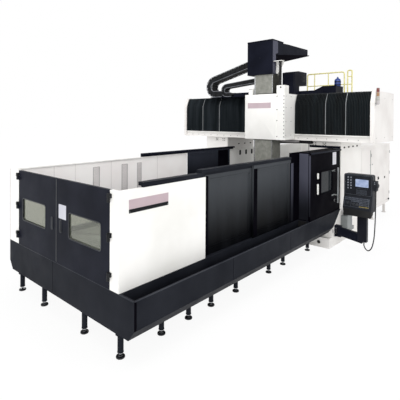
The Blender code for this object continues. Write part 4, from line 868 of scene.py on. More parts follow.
def operator_bay():
    """On the door a gasket, white pulls, a bare plate with its lines, the bar's sleeve, collars and straps, and an
    edge painted paler as a lit face; on the bay its roof lip, its side cover, also painted paler as a lit face, and a
    black plate of painted shade across the gutter's end."""
    face = COLUMN_SIDE
    middle = oblong(1.22, 1.67, -0.35, 0.23, 0.03, 4)
    piece("operator_door_gasket", ring(shrunk(middle, -0.022), shrunk(middle, 0.008), "y", face - 0.009, face + 0.001,
                                       0.0025), BAY_BLACK, "operator_door")
    pulls = [slab(oblong(z0, z1, -0.540, -0.484, 0.022, 4), "y", face - 0.020, face - 0.002, 0.006, 3)
             for z0, z1 in ((1.238, 1.451), (1.545, 1.664))]
    piece("operator_door_white_pulls", joined(*pulls), WHITE_PULL, "operator_door")
    piece("operator_door_plate", slab(oblong(1.765, 2.030, 0.235, 0.425, 0.005, 2), "y", face - 0.003, face, 0.001, 1),
          PALE_PLATE, "operator_door")
    bars = [box((0.258, 0.402), (face - 0.0045, face - 0.002), (z, z + 0.012), 0.0008, 0.001)
            for z in np.linspace(1.80, 1.995, 6)]
    piece("operator_door_plate_lines", joined(*bars), SEAM_GREY, "operator_door")
    bar_x, bar_y = 0.33, face - 0.08
    sleeve = turned([(0.0163, 0), (0.0178, 0.001), (0.0178, 0.739), (0.0163, 0.74)], (bar_x, bar_y, 0.957), "z", 20)
    ends = [turned([(0, 0), (0.013, 0.0), (0.0178, 0.006), (0.0178, 0.012), (0.0, 0.012)], (bar_x, bar_y, z), "z", 20)
            for z in (0.951, 1.694)]
    collars = [turned([(0.0125, 0), (0.026, 0), (0.026, 0.006), (0.018, 0.014), (0.0125, 0.014)],
                      (bar_x, face - 0.0145, z), "y", 20) for z in (1.00, 1.64)]
    straps = [slab(oblong(z - 0.014, z + 0.014, 0.20, 0.335, 0.006, 2), "y", face - 0.006, face + 0.001, 0.002, 1)
              for z in (1.12, 1.64)]
    straps.append(box((0.322, 0.338), (face - 0.075, face - 0.004), (1.108, 1.132), 0.003, 0.004))
    piece("operator_door_bar_straps", joined(*straps), ENAMEL_GREY, "operator_door")
    piece("operator_door_bar_sleeve", joined(sleeve, *ends, *collars), SATIN_STRIP, "operator_door")
    lip = box((-0.82, 0.695), (-1.962, -1.9525), (2.046, 2.079), 0.002, 0.002)
    piece("bay_roof_lip", lip, CHARCOAL, "machine")
    # Painted light: the bay's side cover and the door's edge are a paler copy of the bay's black, with painted sheen
    # toward the top.
    side = slab(oblong(-1.903, -1.715, 0.77, 2.06, 0.006, 2), "x", -0.8225, -0.8195, 0.001, 1)
    jamb = slab(oblong(0.775, 1.885, -1.117, -1.02, 0.006, 2), "y", -1.6925, -1.6895, 0.001, 1)
    piece("bay_side_cover", joined(side, jamb), BAY_SIDE_LIT, "machine")
    edge = slab(oblong(-1.947, -1.913, 0.85, 2.02, 0.004, 2), "x", -0.8175, -0.8145, 0.001, 1)
    piece("operator_door_edge", edge, BAY_SIDE_LIT, "operator_door")
    # Painted shade: a black plate deep in the gutter's end stands for the shade inside it.
    end = slab(oblong(-1.925, -1.715, 0.45, 0.75, 0.01, 2), "x", -0.8445, -0.8405, 0.001, 1)
    piece("gutter_end_shade_plate", end, RUBBER, "machine")


# Columns, beam, saddle and ram

def castings():
    """Screws of the columns, the beam's ledge and its end covers, black liners and patches of painted shade in and at
    the columns' holes and slots, an apron on the near column, white strips on the ledge, and a cable duct with its
    trunk under the beam."""
    group = ((0.10, -0.05), (0.10, -0.10), (0.16, -0.05), (0.16, -0.10), (0.34, -0.05), (0.34, -0.10), (0.37, -0.075),
             (0.40, -0.05), (0.40, -0.10))
    places = [(COLUMN_FRONT, side * (COLUMN_INNER + dy), BEAM_LOW + dz) for side in (-1, 1) for dy, dz in group]
    piece("column_front_screws", screws(places, "x", 0.012, 0.008), BLACK_OXIDE, "machine")
    hole_x = [COLUMN_FRONT + COLUMN_DEPTH * (0.41 + 0.23 * i) for i in range(3)]
    slot_x = [COLUMN_FRONT + COLUMN_DEPTH * (0.16 + 0.21 * i) for i in range(4)]
    holes = [oblong(BEAM_LOW - 0.53, BEAM_LOW - 0.39, x - 0.045, x + 0.045, 0.03, 3) for x in hole_x]
    # Painted shade: black pieces inside and at the holes and slots stand for the shade of their depth.
    shade_liners = []
    for side in (-1, 1):
        inner, outer = side * COLUMN_INNER, side * COLUMN_OUTER
        shade_liners += [slab(shrunk(hole, 0.0005), "y", *sorted((inner + side * 0.012, inner + side * 0.0495)), 0.004, 2)
                  for hole in holes]
        shade_liners.append(slab(oblong(0.292, 0.378, 0.2745, 0.3205, 0.02, 3), "y",
                          *sorted((outer - side * 0.006, outer - side * 0.0395)), 0.004, 2))
        shade_liners.append(turned([(0, 0.108), (0.036, 0.108), (0.0395, 0.112), (0.0395, 0.149), (0, 0.149)],
                            (0, side * 1.715, 0.105), "x", 20))
    for x in slot_x:
        slot = shrunk(oblong(BEAM_LOW - 0.16, BEAM_LOW - 0.12, x - 0.055, x + 0.055, 0.018, 3), 0.0008)
        shade_liners += [slab(slot, "y", *sorted((side * 1.946, side * 1.9205)), 0.003, 2) for side in (-1, 1)]
    for x, hole in zip(hole_x, holes):
        shade_liners.append(slab(hole, "y", 1.148, 1.1505, 0.0008, 1))
        shade_liners.append(slab(oblong(2.015, 2.047, x - 0.034, x + 0.034, 0.012, 3), "y", 1.198, 1.2005, 0.0008, 1))
    piece("column_hole_shade_liners", joined(*shade_liners), RUBBER, "machine")
    apron = slab(oblong(-1.94, -1.215, 2.083, 2.135, 0.004, 2), "x", 0.6905, 0.6995, 0.002, 2)
    piece("near_column_apron", apron, BLACK_COVER, "machine")
    y = np.concatenate([np.arange(0.30, 2.6, 0.23), -np.arange(0.99, 2.6, 0.23)])
    heads = [(BEAM_LIP, float(v), BEAM_LOW + 0.05) for v in y]
    piece("beam_ledge_screws", screws(heads, "x", 0.011, 0.007), ZINC, "machine")
    for name, low, high in (("far", 0.18, 2.605), ("near", -2.605, -0.905)):
        ledge = box((0.505, 0.60), (low, high), (BEAM_LEDGE - 0.022, BEAM_LEDGE - 0.002), 0.003, 0.004, "y")
        fixed, moving = (high, low) if name == "far" else (low, high)
        piece(f"beam_ledge_{name}", ledge, WHITE_SHEET,
              ("machine", "saddle", (0.55, fixed, 2.37), (0.55, moving, 2.37)))
    duct_end, trunk_end, under_beam = -0.99, -0.02, BEAM_LOW - 0.002
    duct = slab(oblong(2.162, under_beam, 0.60, 0.69, 0.03, 4), "y", -1.30, duct_end, 0.012, 3)
    sag = ((duct_end, 2.175), (-0.70, 2.16), (-0.35, 2.145), (trunk_end, 2.14))
    cable = pipe([(0.63, *spot) for spot in sag], 0.012, 10)
    piece("beam_cable_duct", joined(duct, cable), RUBBER, "machine")
    trunk = slab(oblong(2.155, under_beam, 0.65, 0.695, 0.01, 3), "y", duct_end, trunk_end, 0.004, 2)
    piece("beam_cable_trunk", trunk, LOUVRE_GREY, "machine")
    heads = [screws([(x, side * (BEAM_HALF + END_COVER), z) for x in (0.66, 1.25, 1.84) for z in (2.34, 3.2)], "y",
                    0.010, 0.004, side) for side in (-1, 1)]
    piece("beam_cover_screws", joined(*heads), ZINC, "machine")


def saddle():
    """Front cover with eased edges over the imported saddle, its bare plate, the screws of its flange and side, wiper
    frames round the ram, the lug's pin, a wiper block on top and a skirt along the side."""
    cover = slab(oblong(SADDLE_NEAR + 0.219, SADDLE_FAR - 0.004, BEAM_LOW + 0.014, SADDLE_TOP - 0.004, 0.006, 3), "x",
                 SADDLE_FRONT - 0.006, SADDLE_FRONT + 0.004, 0.004, 3)
    piece("saddle_front_cover", cover, WHITE_SHEET, "saddle")
    plate = slab(oblong(-0.55, 0.09, 2.99, 3.12, 0.004, 2), "x", SADDLE_FRONT - 0.009, SADDLE_FRONT - 0.005, 0.001, 1)
    piece("saddle_plate", plate, ROSE_PLATE, "saddle")
    flange = SADDLE_FRONT + 0.012
    rows = [(flange, -0.880, z) for z in np.linspace(2.33, 3.26, 12)]
    rows += [(flange, -0.705, z) for z in (2.33, 2.70, 2.95, 3.26)]
    piece("saddle_flange_screws", screws(rows, "x", 0.011, 0.008), BLACK_OXIDE, "saddle")
    side = [(x, SADDLE_NEAR, z) for x in (0.12, 0.36) for z in (2.36, 2.68, 3.0, 3.26)]
    piece("saddle_side_screws", screws(side, "y", 0.011, 0.006), ZINC, "saddle")
    outer = oblong(0.085, 0.525, -0.575, -0.025, 0.012, 2)
    inner = oblong(0.107, 0.503, -0.553, -0.047, 0.004, 2)
    wipers = joined(ring(outer, inner, "z", SADDLE_TOP, SADDLE_TOP + 0.018, 0.003),
                    ring(outer, inner, "z", BEAM_LOW - 0.006, BEAM_LOW + 0.011, 0.003))
    piece("saddle_ram_wipers", wipers, RUBBER, "saddle")
    pin = turned([(0, -0.004), (0.014, -0.004), (0.018, 0), (0.018, 0.004), (0, 0.004)], (0.0485, -0.80, 3.465), "x",
                 20)
    piece("saddle_lug_pin", pin, BLACK_OXIDE, "saddle")
    block = box((0.075, 0.20), (-0.018, 0.092), (SADDLE_TOP + 0.0005, SADDLE_TOP + 0.15), 0.004, 0.008)
    slot = box((0.072, 0.0765), (-0.012, 0.086), (SADDLE_TOP + 0.128, SADDLE_TOP + 0.136), 0.0005, 0.001)
    piece("saddle_wiper_block", block, WHITE_SHEET, "saddle")
    piece("saddle_wiper_block_joint", slot, BLACK_OXIDE, "saddle")
    skirt = box((SADDLE_FRONT + 0.02, 0.52), (SADDLE_NEAR - 0.012, SADDLE_NEAR + 0.001),
                (BEAM_LOW + 0.012, BEAM_LOW + 0.05), 0.003, 0.004)
    piece("saddle_side_skirt", skirt, WHITE_SHEET, "saddle")


def ram_and_cover():
    """Ground guide strips and a dark scale cover down the ram; on the top cover screws, a folded rim, a paler side
    sheet that paints light on the cover's side, the folds of its arm and a black wedge of painted shade under the arm;
    and the bracket of the balance cylinder over its pleated gaiter."""
    tall = (RAM_LOW, 4.08)
    strips = [box((0.108, 0.1105), (y, y + w), tall, 0.001, 0.001) for y, w in ((-0.548, 0.012), (-0.082, 0.03))]
    strips += [box((x, x + 0.012), (-0.5525, -0.5495), tall, 0.001, 0.001) for x in (0.112, 0.486)]
    piece("ram_guide_strips", joined(*strips), SPINDLE_STEEL, "ram")
    scale = slab(oblong(2.86, 3.785, 0.130, 0.480, 0.004, 2), "y", -0.5518, -0.5495, 0.0008, 1)
    piece("ram_side_scale_cover", scale, SCALE_COVER, "ram")
    rows = (3.82, 4.19, RAM_COVER_TOP)
    heads = [(0.06, y, z) for y in (-0.555, -0.23, 0.095) for z in rows]
    side = [(x, RAM_COVER_SIDE, z) for x in (0.09, 0.28) for z in rows]
    side += [(x, RAM_COVER_SIDE, z) for z in (RAM_COVER_TOP, 4.12) for x in (0.34, 0.53)]
    piece("ram_cover_screws", joined(screws(heads, "x", 0.009, 0.004), screws(side, "y", 0.009, 0.004)), BLACK_OXIDE,
          "ram")
    rim = ring(oblong(0.050, 0.566, -0.586, 0.126, 0.012, 3), oblong(0.066, 0.550, -0.570, 0.110, 0.008, 3), "z", 4.575,
               4.600, 0.003)
    piece("ram_cover_rim", rim, BLACK_COVER, "ram")
    # Painted light: the side sheet is a paler copy of the black cover.
    side_line = [(3.797, 0.067), (3.797, 0.205), (4.268, 0.205), (4.30, 0.302), (4.583, 0.302), (4.583, 0.067)]
    side_sheet = slab(softened(side_line, 0.006, 2), "y", -0.5818, -0.579, 0.001, 1)
    piece("ram_cover_side_lit_sheet", side_sheet, COVER_SIDE, "ram")
    # Painted shade: a black wedge on the cover's side plane under the arm, standing for the arm's shaded underside.
    under = [(4.094, 0.211), (4.094, 0.325), (4.121, 0.566), (4.446, 1.965), (4.466, 1.965), (4.262, 0.325),
             (4.262, 0.211)]
    wedge = slab(softened(under, 0.004, 2), "y", -0.5815, -0.579, 0.001, 1)
    piece("ram_cover_arm_underside_shade", wedge, BAY_BLACK, "ram")
    fold = np.array([(0.566, 4.118), (1.975, 4.4435), (1.975, 4.4555), (0.566, 4.130)])
    folds = [strip_of(fold, y, y + 0.008) for y in (-0.538, -0.096)]
    piece("ram_cover_arm_folds", joined(*folds), BLACK_COVER, "ram")
    corners = np.array([(-0.582, 3.80), (-0.582, 4.085), (-0.78, 4.085), (-0.78, 4.02), (-0.62, 3.80)])
    gusset = slab(softened(corners, 0.012, 2), "x", 0.214, 0.228, 0.003, 2)
    shelf = box((0.09, 0.228), (-0.80, -0.582), (4.076, 4.09), 0.003, 0.006)
    piece("balance_bracket", joined(gusset, shelf), WHITE_SHEET, "ram")
    pleats = np.arange(GAITER_PLEATS + 1)
    radius = np.where(pleats % 2, 0.027, 0.035)
    levels = 3.525 + (4.06 - 3.525) * pleats / GAITER_PLEATS
    profile = [(0.0, 3.511), (0.04, 3.511), (0.04, 3.525), *zip(radius, levels), (0.04, 4.06), (0.04, 4.074),
               (0.0, 4.074)]
    piece("balance_gaiter", turned(profile, (GAITER_X, GAITER_Y, 0.0), "z", 20), RUBBER,
          ("saddle", "ram", (GAITER_X, GAITER_Y, 3.53), (GAITER_X, GAITER_Y, 4.05)))


def spindle():
    """Turned spindle nose: a flange with screws, a waist, a ground face with two drive keys and the taper's mouth."""
    profile = [(0.0, 1.5497), (0.11, 1.5497), (0.11, 1.515), (0.105, 1.51), (0.085, 1.505), (0.082, 1.46),
               (0.074, 1.455), (0.074, 1.40), (0.070, 1.392), (0.042, 1.39), (0.036, 1.41), (0.028, 1.47), (0.0, 1.475)]
    nose = piece("spindle_nose_turned", turned(profile, (SPINDLE_X, SPINDLE_Y, 0.0), "z", 40), SPINDLE_STEEL, "ram")
    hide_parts("spindle_nose")
    angle = np.linspace(0, 2 * math.pi, 8, endpoint=False) + 0.2
    places = np.stack([SPINDLE_X + 0.096 * np.cos(angle), SPINDLE_Y + 0.096 * np.sin(angle),
                       np.full(8, 1.5135)], -1)
    piece("spindle_screws", screws(places, "z", 0.007, 0.006), BLACK_OXIDE, "ram")
    lugs = [box((x - 0.010, x + 0.010), (-0.312, -0.288), (1.3905, 1.40), 0.002, 0.002)
            for x in (SPINDLE_X + s * 0.058 for s in (-1, 1))]
    piece("spindle_drive_keys", joined(*lugs), ZINC, "ram")


def chain_tray_lip():
    """Upright folded lip along the chain tray's front, from the saddle to the chains' bends."""
    low, high, start, end = CHAIN_TRAY_LOW, 3.405, 0.182, 0.70
    face = softened([(start, low), (end, low), (end, 3.37), (0.66, high), (start, high)], 0.006, 2)
    front = slab(face, "x", 0.292, 0.298, 0.0015, 2)
    foot = box((0.293, 0.341), (start, end), (low, 3.3055), 0.001, 0.002, "y")
    piece("chain_tray_lip", joined(front, foot), BLACK_COVER, "saddle")


def beam_top():
    """Head cabinet's door joint and louvres, drive cover's lid, a trough along the beam, and the accumulator as a domed
    turned vessel with straps."""
    x, y = 0.60, (-0.86, -0.54)
    joint = ring(oblong(y[0] + 0.02, y[1] - 0.02, 3.36, 3.83, 0.02, 3), oblong(y[0] + 0.028, y[1] - 0.028, 3.368, 3.822,
                 0.016, 3), "x", x - 0.003, x + 0.001, 0.0008)
    fins = [box((0.92, 1.19), (y[0] - 0.006, y[0] + 0.001), (z, z + 0.012), 0.002, 0.002)
            for z in np.arange(3.66, 3.85, 0.035)]
    piece("head_cabinet_trim", joined(joint, *fins), BLACK_OXIDE, "saddle")
    lid = box((0.972, 1.428), (-1.718, -1.392), (3.512, 3.5195), 0.002, 0.008)
    piece("beam_drive_lid", lid, BLACK_COVER, "machine")
    trough = box((0.974, 1.425), (-1.40, -0.30), (3.2405, 3.432), 0.004, 0.006)
    piece("beam_top_trough", trough, BLACK_COVER, "machine")
    profile = [(0, 3.521), (0.050, 3.521), (0.068, 3.528), (0.0745, 3.545), (0.0745, 3.66), (0.071, 3.68),
               (0.060, 3.70), (0.042, 3.713), (0.026, 3.718), (0.026, 3.728), (0.018, 3.732), (0.018, 3.75),
               (0.012, 3.755), (0, 3.755)]
    vessel = piece("accumulator_vessel", turned(profile, (ACCUMULATOR_X, ACCUMULATOR_Y, 0), "z", 32), BLUE, "machine")
    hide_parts("accumulator")
    strap = turned([(0.0745, -0.011), (0.0775, -0.011), (0.0775, 0.011), (0.0745, 0.011)], ORIGIN, "z", 32)
    straps = copies(strap, [(ACCUMULATOR_X, ACCUMULATOR_Y, z) for z in (3.565, 3.635)])
    piece("accumulator_straps", straps, BLACK_OXIDE, "machine")


def guard_rail():
    """Yellow tubes along smooth paths: a top rail that turns down into its last post, a middle rail, posts with turned
    feet, and an upright hoop at the ladder."""
    x, top, base = RAIL_X, 3.925, BEAM_TOP
    far, near = -0.62, -1.60
    bend = eased([(x, -1.50, top), (x, near + 0.04, top - 0.004), (x, near + 0.008, top - 0.035),
                  (x, near, top - 0.10)], 6)
    top_rail = np.concatenate([[(x, far, base), (x, far, top - 0.10)],
                               eased([(x, far, top - 0.06), (x, far - 0.012, top - 0.012), (x, far - 0.06, top)], 5),
                               bend, [(x, near, base)]])
    hoop = np.concatenate([[(x, -1.68, base)], eased([(x, -1.68, 3.90), (x, -1.684, 3.938), (x, -1.72, 3.952),
                                                      (x, -1.75, 3.952), (x, -1.782, 3.938), (x, -1.786, 3.90)], 5),
                           [(x, -1.786, base)]])
    straight = [[(x, far, 3.61), (x, near - 0.18, 3.61)], [(x, near - 0.09, 3.80), (x, near - 0.18, 3.80)],
                [(x, -0.82, base), (x, -0.82, top)], [(x, -1.19, base), (x, -1.19, top)]]
    tubes = [pipe(path, 0.0165, 12) for path in (top_rail, hoop)]
    tubes += [pipe(np.linspace(a, b, 3), 0.0125, 12) for a, b in straight]
    foot = turned([(0.019, 0.0), (0.05, 0.0), (0.05, 0.008), (0.026, 0.012), (0.019, 0.03)], ORIGIN, "z", 16)
    feet = copies(foot, [(x, y, base) for y in (far, -0.82, -1.19, near, -1.68, -1.786)])
    made = piece("guard_rail_tubes", joined(*tubes, feet), YELLOW, "machine", 40)
    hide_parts("guard_rail")


def signal_lamp():
    """Stacked lamp: three lenses between thin rings, a cap, a base and the bracket's bent rod."""
    x, y = 0.60, -2.74
    lens = np.array([(0.0, 0.0), (0.0275, 0.0), (0.0298, 0.006), (0.0298, 0.074), (0.0275, 0.08), (0.0, 0.08)])
    for i, (name, shade) in enumerate((("clear", LENS_CLEAR), ("amber", LENS_AMBER), ("red", LENS_RED))):
        piece(f"signal_lamp_{name}", turned(lens, (x, y, 3.125 + 0.086 * i), "z", 24), shade, "machine")
    band = turned([(0.0, 0), (0.0298, 0), (0.0298, 0.006), (0.0, 0.006)], ORIGIN, "z", 24)
    body = [copies(band, [(x, y, 3.205), (x, y, 3.291)]),
            turned([(0, 3.383), (0.0298, 3.377), (0.0298, 3.383), (0.022, 3.3895), (0, 3.39)], (x, y, 0), "z", 24),
            turned([(0, 3.04), (0.020, 3.04), (0.0298, 3.06), (0.0298, 3.125), (0, 3.125)], (x, y, 0), "z", 24)]
    made = piece("signal_lamp_body", joined(*body), LOUVRE_GREY, "machine")
    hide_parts("signal_lamp")
    rod = pipe(eased([(x, -2.6955, 3.05), (x, -2.715, 3.05), (x, y + 0.005, 3.052), (x, y, 3.065)], 4), 0.009, 10)
    foot = slab(oblong(3.02, 3.08, 0.575, 0.625, 0.008, 3), "y", -2.7005, -2.6955, 0.0015, 2)
    piece("signal_lamp_arm", joined(rod, foot), ZINC, "machine")


# Cabinet, pendant, lubrication unit and legs

def cabinet():
    """Door hinges, four quarter-turn locks, a rotary switch, a cable gland, a handle strip and a vent."""
    y = COLUMN_SIDE
    hinge = turned([(0, 0), (0.010, 0.002), (0.010, 0.088), (0, 0.09)], ORIGIN, "z", 10)
    hinges = copies(hinge, [(x, y - 0.006, z) for x in (2.795, 4.492) for z in (0.55, 1.14, 1.75)])
    lock = turned([(0, 0), (0.018, 0), (0.018, -0.006), (0.014, -0.010), (0.005, -0.010), (0.005, -0.005), (0, -0.005)],
                  ORIGIN, "y", 16)
    locks = copies(lock, [(2.72, y, 0.85), (2.72, y, 1.55), (2.90, y, 0.85), (2.90, y, 1.55)])
    piece("cabinet_hinges_and_locks", joined(hinges, locks), ZINC, "machine")
    switch = [slab(oblong(1.08, 1.17, 3.385, 3.455, 0.006, 3), "y", y - 0.006, y, 0.002, 2),
              slab(oblong(1.10, 1.15, 3.412, 3.428, 0.006, 3), "y", y - 0.026, y - 0.004, 0.003, 2),
              slab(oblong(1.06, 1.12, 3.99, 4.07, 0.006, 3), "y", y - 0.006, y, 0.002, 2),
              turned([(0, 0), (0.026, 0), (0.026, -0.02), (0.018, -0.03), (0, -0.03)], (4.41, y, 0.41), "y", 16)]
    piece("cabinet_switch_and_gland", joined(*switch), ABS_BLACK, "machine")
    fins = [slab(oblong(z, z + 0.012, 4.05, 4.40, 0.004, 1), "y", y - 0.007, y + 0.001, 0.003, 1)
            for z in np.arange(1.62, 1.86, 0.03)]
    gap = box((2.744, 2.776), (y - 0.004, y + 0.001), (1.28, 1.93), 0.0015, 0.002)
    piece("cabinet_door_handle_strip", gap, ENAMEL_GREY, "machine")
    piece("cabinet_vent", joined(*fins), CABINET_WHITE, "machine")


def tilted(surface, pivot, sine):
    """Surface drawn flat on the YZ plane, turned about the Y axis by the angle of this sine and moved to its pivot."""
    points, faces = surface
    cosine = math.sqrt(1 - sine * sine)
    x, y, z = points.T
    return np.stack([pivot[0] + x * cosine + z * sine, y, pivot[1] - x * sine + z * cosine], -1), faces


def keys(columns, rows, size, depth, face=0.0):
    """Grid of keys with eased edges: one slab set down at each place, its face towards -X."""
    half_y, half_z = size[0] / 2, size[1] / 2
    cap = slab(oblong(-half_y, half_y, -half_z, half_z, 0.003, 2), "x", -depth, 0.001, depth * 0.4, 1)
    return copies(cap, [(face, y, z) for z in rows for y in columns])


def pendant():
    """Operator's panel: bezel, display, keypad and button columns on the face, key fields and dials on the slanted
    console, and a skirt under it."""
    x = HEAD_FRONT
    screen = oblong(-2.732, -2.474, 1.382, 1.541, 0.008, 3)
    bezel = shrunk(screen, -0.024)
    piece("pendant_bezel", ring(bezel, shrunk(screen, 0.003), "x", x - 0.009, x + 0.001, 0.003), ABS_BLACK, "pendant")
    piece("pendant_display", slab(shrunk(screen, 0.001), "x", x - 0.0035, x + 0.001, 0.0008, 1), SCREEN, "pendant")
    edge = oblong(HEAD_NEAR + 0.012, HEAD_FAR - 0.012, 1.215, HEAD_TOP - 0.012, 0.03, 4)
    rim = ring(edge, shrunk(edge, 0.012), "x", x - 0.006, x + 0.001, 0.0025)
    hood = oblong(HEAD_NEAR - 0.003, HEAD_FAR + 0.003, 0.905, HEAD_TOP + 0.003, 0.037, 5)
    shade = ring(hood, shrunk(hood, 0.0045), "x", 0.118, 0.150, 0.002)
    piece("pendant_face_rim", joined(rim, shade), PENDANT_EDGE, "pendant")
    soft = joined(keys(np.linspace(-2.700, -2.506, 8), (1.356,), (0.020, 0.013), 0.004, x),
                  keys(np.linspace(-2.688, -2.500, 9), np.linspace(1.246, 1.322, 5), (0.017, 0.012), 0.004, x))
    piece("pendant_keypad", soft, KEY_GREY, "pendant")
    backing = slab(oblong(-2.705, -2.483, 1.230, 1.338, 0.006, 3), "x", x - 0.0018, x + 0.001, 0.0006, 1)
    piece("pendant_keypad_backing", backing, BLACK_OXIDE, "pendant")
    button = turned([(0, -0.014), (0.0095, -0.013), (0.0105, -0.010), (0.0105, -0.006), (0.0145, -0.006),
                     (0.0155, -0.003), (0.0155, 0.001), (0, 0.001)], ORIGIN, "x", 14)
    places = [(x, y, z) for y in (-2.388, -2.330) for z in np.linspace(1.345, 1.560, 5)]
    piece("pendant_buttons", copies(button, places), KEY_PALE, "pendant")
    labels = slab(oblong(-0.016, 0.016, -0.0035, 0.0035, 0.001, 1), "x", x - 0.0015, x + 0.001, 0.0005, 1)
    piece("pendant_button_plates", copies(labels, [(0, y, z + 0.024) for _, y, z in places]), DARK_PULL, "pendant")
    pivot, sine = (0.035, 0.97), 0.065 / math.hypot(0.065, 0.23)
    frame_line = oblong(-2.752, -2.272, 0.012, 0.200, 0.008, 3)
    lines = [ring(frame_line, shrunk(frame_line, 0.004), "x", -0.0018, 0.001, 0.0006)]
    for y in (-2.565, -2.405):
        lines.append(slab(oblong(y - 0.002, y + 0.002, 0.02, 0.192, 0.001, 1), "x", -0.0016, 0.001, 0.0005, 1))
    piece("console_outline", tilted(joined(*lines), pivot, sine), KEY_GREY, "pendant")
    fields = joined(keys(np.linspace(-2.738, -2.582, 7), np.linspace(0.065, 0.185, 5), (0.017, 0.019), 0.005),
                    keys(np.linspace(-2.548, -2.422, 6), np.linspace(0.125, 0.185, 3), (0.016, 0.019), 0.005),
                    keys(np.linspace(-2.388, -2.286, 5), (0.155, 0.185), (0.016, 0.019), 0.005))
    piece("console_keys", tilted(fields, pivot, sine), KEY_GREY, "pendant")
    piece("console_amber_keys", tilted(keys(np.linspace(-2.738, -2.582, 7), (0.030,), (0.017, 0.017), 0.006), pivot,
                                       sine), KEY_AMBER, "pendant")
    knob = turned([(0, -0.026), (0.011, -0.026), (0.014, -0.022), (0.016, -0.008), (0.023, -0.006), (0.024, 0.001),
                   (0, 0.001)], ORIGIN, "x", 20)
    fin = slab(oblong(-0.003, 0.003, -0.014, 0.014, 0.002, 1), "x", -0.030, -0.02, 0.001, 1)
    dial_places = ((-2.520, 0.065), (-2.450, 0.065), (-2.345, 0.080))
    dials = copies(joined(knob, fin), [(0, *place) for place in dial_places])
    piece("console_dials", tilted(dials, pivot, sine), DARK_PULL, "pendant")
    ticks = [(0, y + 0.031 * math.sin(a), z + 0.031 * math.cos(a)) for y, z in dial_places
             for a in np.radians(np.arange(-135, 136, 27))]
    mark = slab(oblong(-0.0012, 0.0012, -0.0012, 0.0012, 0.0005, 1), "x", -0.0014, 0.001, 0.0004, 1)
    piece("console_dial_ticks", tilted(copies(mark, ticks), pivot, sine), KEY_PALE, "pendant")
    skirt = slab(softened([(-2.786, 0.80), (-2.264, 0.80), (-2.252, 0.935), (-2.798, 0.935)], 0.008, 3), "x", 0.032,
                 0.060, 0.004, 3)
    sides = [slab(softened([(0.93, 0.05), (0.806, 0.05), (0.86, 0.17), (0.93, 0.17)], 0.006, 2), "y", y, y + 0.02,
                  0.003, 2) for y in (-2.797, -2.273)]
    piece("console_skirt", joined(skirt, *sides), RUBBER, "pendant")
    heads = [(0.19, y, 0.93) for y in (HEAD_NEAR + 0.06, HEAD_FAR - 0.06)]
    piece("pendant_screws", screws(heads, "z", 0.007, 0.004), BLACK_OXIDE, "pendant")


def handwheel():
    """Pulse generator's wheel: a knurled rim whose radius is a cosine of the angle, a recessed face with ticks, a hub
    and an offset spinner knob; beside it two selector knobs on the pod."""
    x, z, y = POST_X, 1.43, -2.885
    angle = np.linspace(0, 2 * math.pi, WHEEL_POINTS, endpoint=False)
    wave = 1 + 0.012 * np.cos(24 * angle)
    rows = []
    for radius, level, knurl in ((0, 0.0245, 0), (0.036, 0.0245, 0), (0.0452, 0.022, 1), (0.0452, 0.004, 1),
                                 (0.042, 0.0, 0), (0.037, 0.0, 0), (0.034, 0.004, 0), (0.014, 0.004, 0),
                                 (0.013, -0.004, 0), (0.0, -0.005, 0)):
        r = radius * np.where(knurl, wave, 1)
        rows.append(np.stack([x + r * np.sin(angle), np.full(WHEEL_POINTS, y + level), z + r * np.cos(angle)], -1))
    wheel = shell(np.stack(rows))
    stalk = turned([(0, -0.022), (0.0055, -0.021), (0.0065, -0.016), (0.0045, -0.006), (0.0045, 0.004), (0, 0.004)],
                   (x - 0.022, y, z + 0.012), "y", 12)
    hub = turned([(0, 0.020), (0.0125, 0.020), (0.0125, 0.0247), (0, 0.0247)], (x, y, z), "y", 16)
    made = piece("handwheel_turned", joined(wheel, stalk, hub), DARK_PULL, "handwheel")
    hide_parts("handwheel")
    mark = slab(oblong(0.026, 0.033, -0.0007, 0.0007, 0.0004, 1), "y", y + 0.0028, y + 0.0045, 0.0003, 1)
    points, faces = mark
    turns = np.linspace(0, 2 * math.pi, WHEEL_TICKS, endpoint=False)
    c, s = np.cos(turns)[:, None], np.sin(turns)[:, None]
    level = np.broadcast_to(points[:, 1], (WHEEL_TICKS, len(points)))
    placed = np.stack([x + points[None, :, 0] * c + points[None, :, 2] * s, level,
                       z - points[None, :, 0] * s + points[None, :, 2] * c], -1)
    piece("handwheel_ticks", repeated(placed, faces), KEY_PALE, "handwheel")
    selector = turned([(0, -0.014), (0.007, -0.014), (0.0085, -0.011), (0.0095, 0.001), (0, 0.001)], ORIGIN, "x", 14)
    knobs = copies(selector, [(0.14, HEAD_NEAR - 0.03, 1.495), (0.14, HEAD_NEAR - 0.03, 1.465)])
    piece("pod_selectors", knobs, KEY_PALE, "pendant")
    guard = slab(oblong(1.326, 1.524, 0.136, 0.264, 0.02, 4), "y", HEAD_NEAR - 0.062, HEAD_NEAR - 0.056, 0.002, 2)
    piece("pod_guard", guard, ABS_BLACK, "pendant")


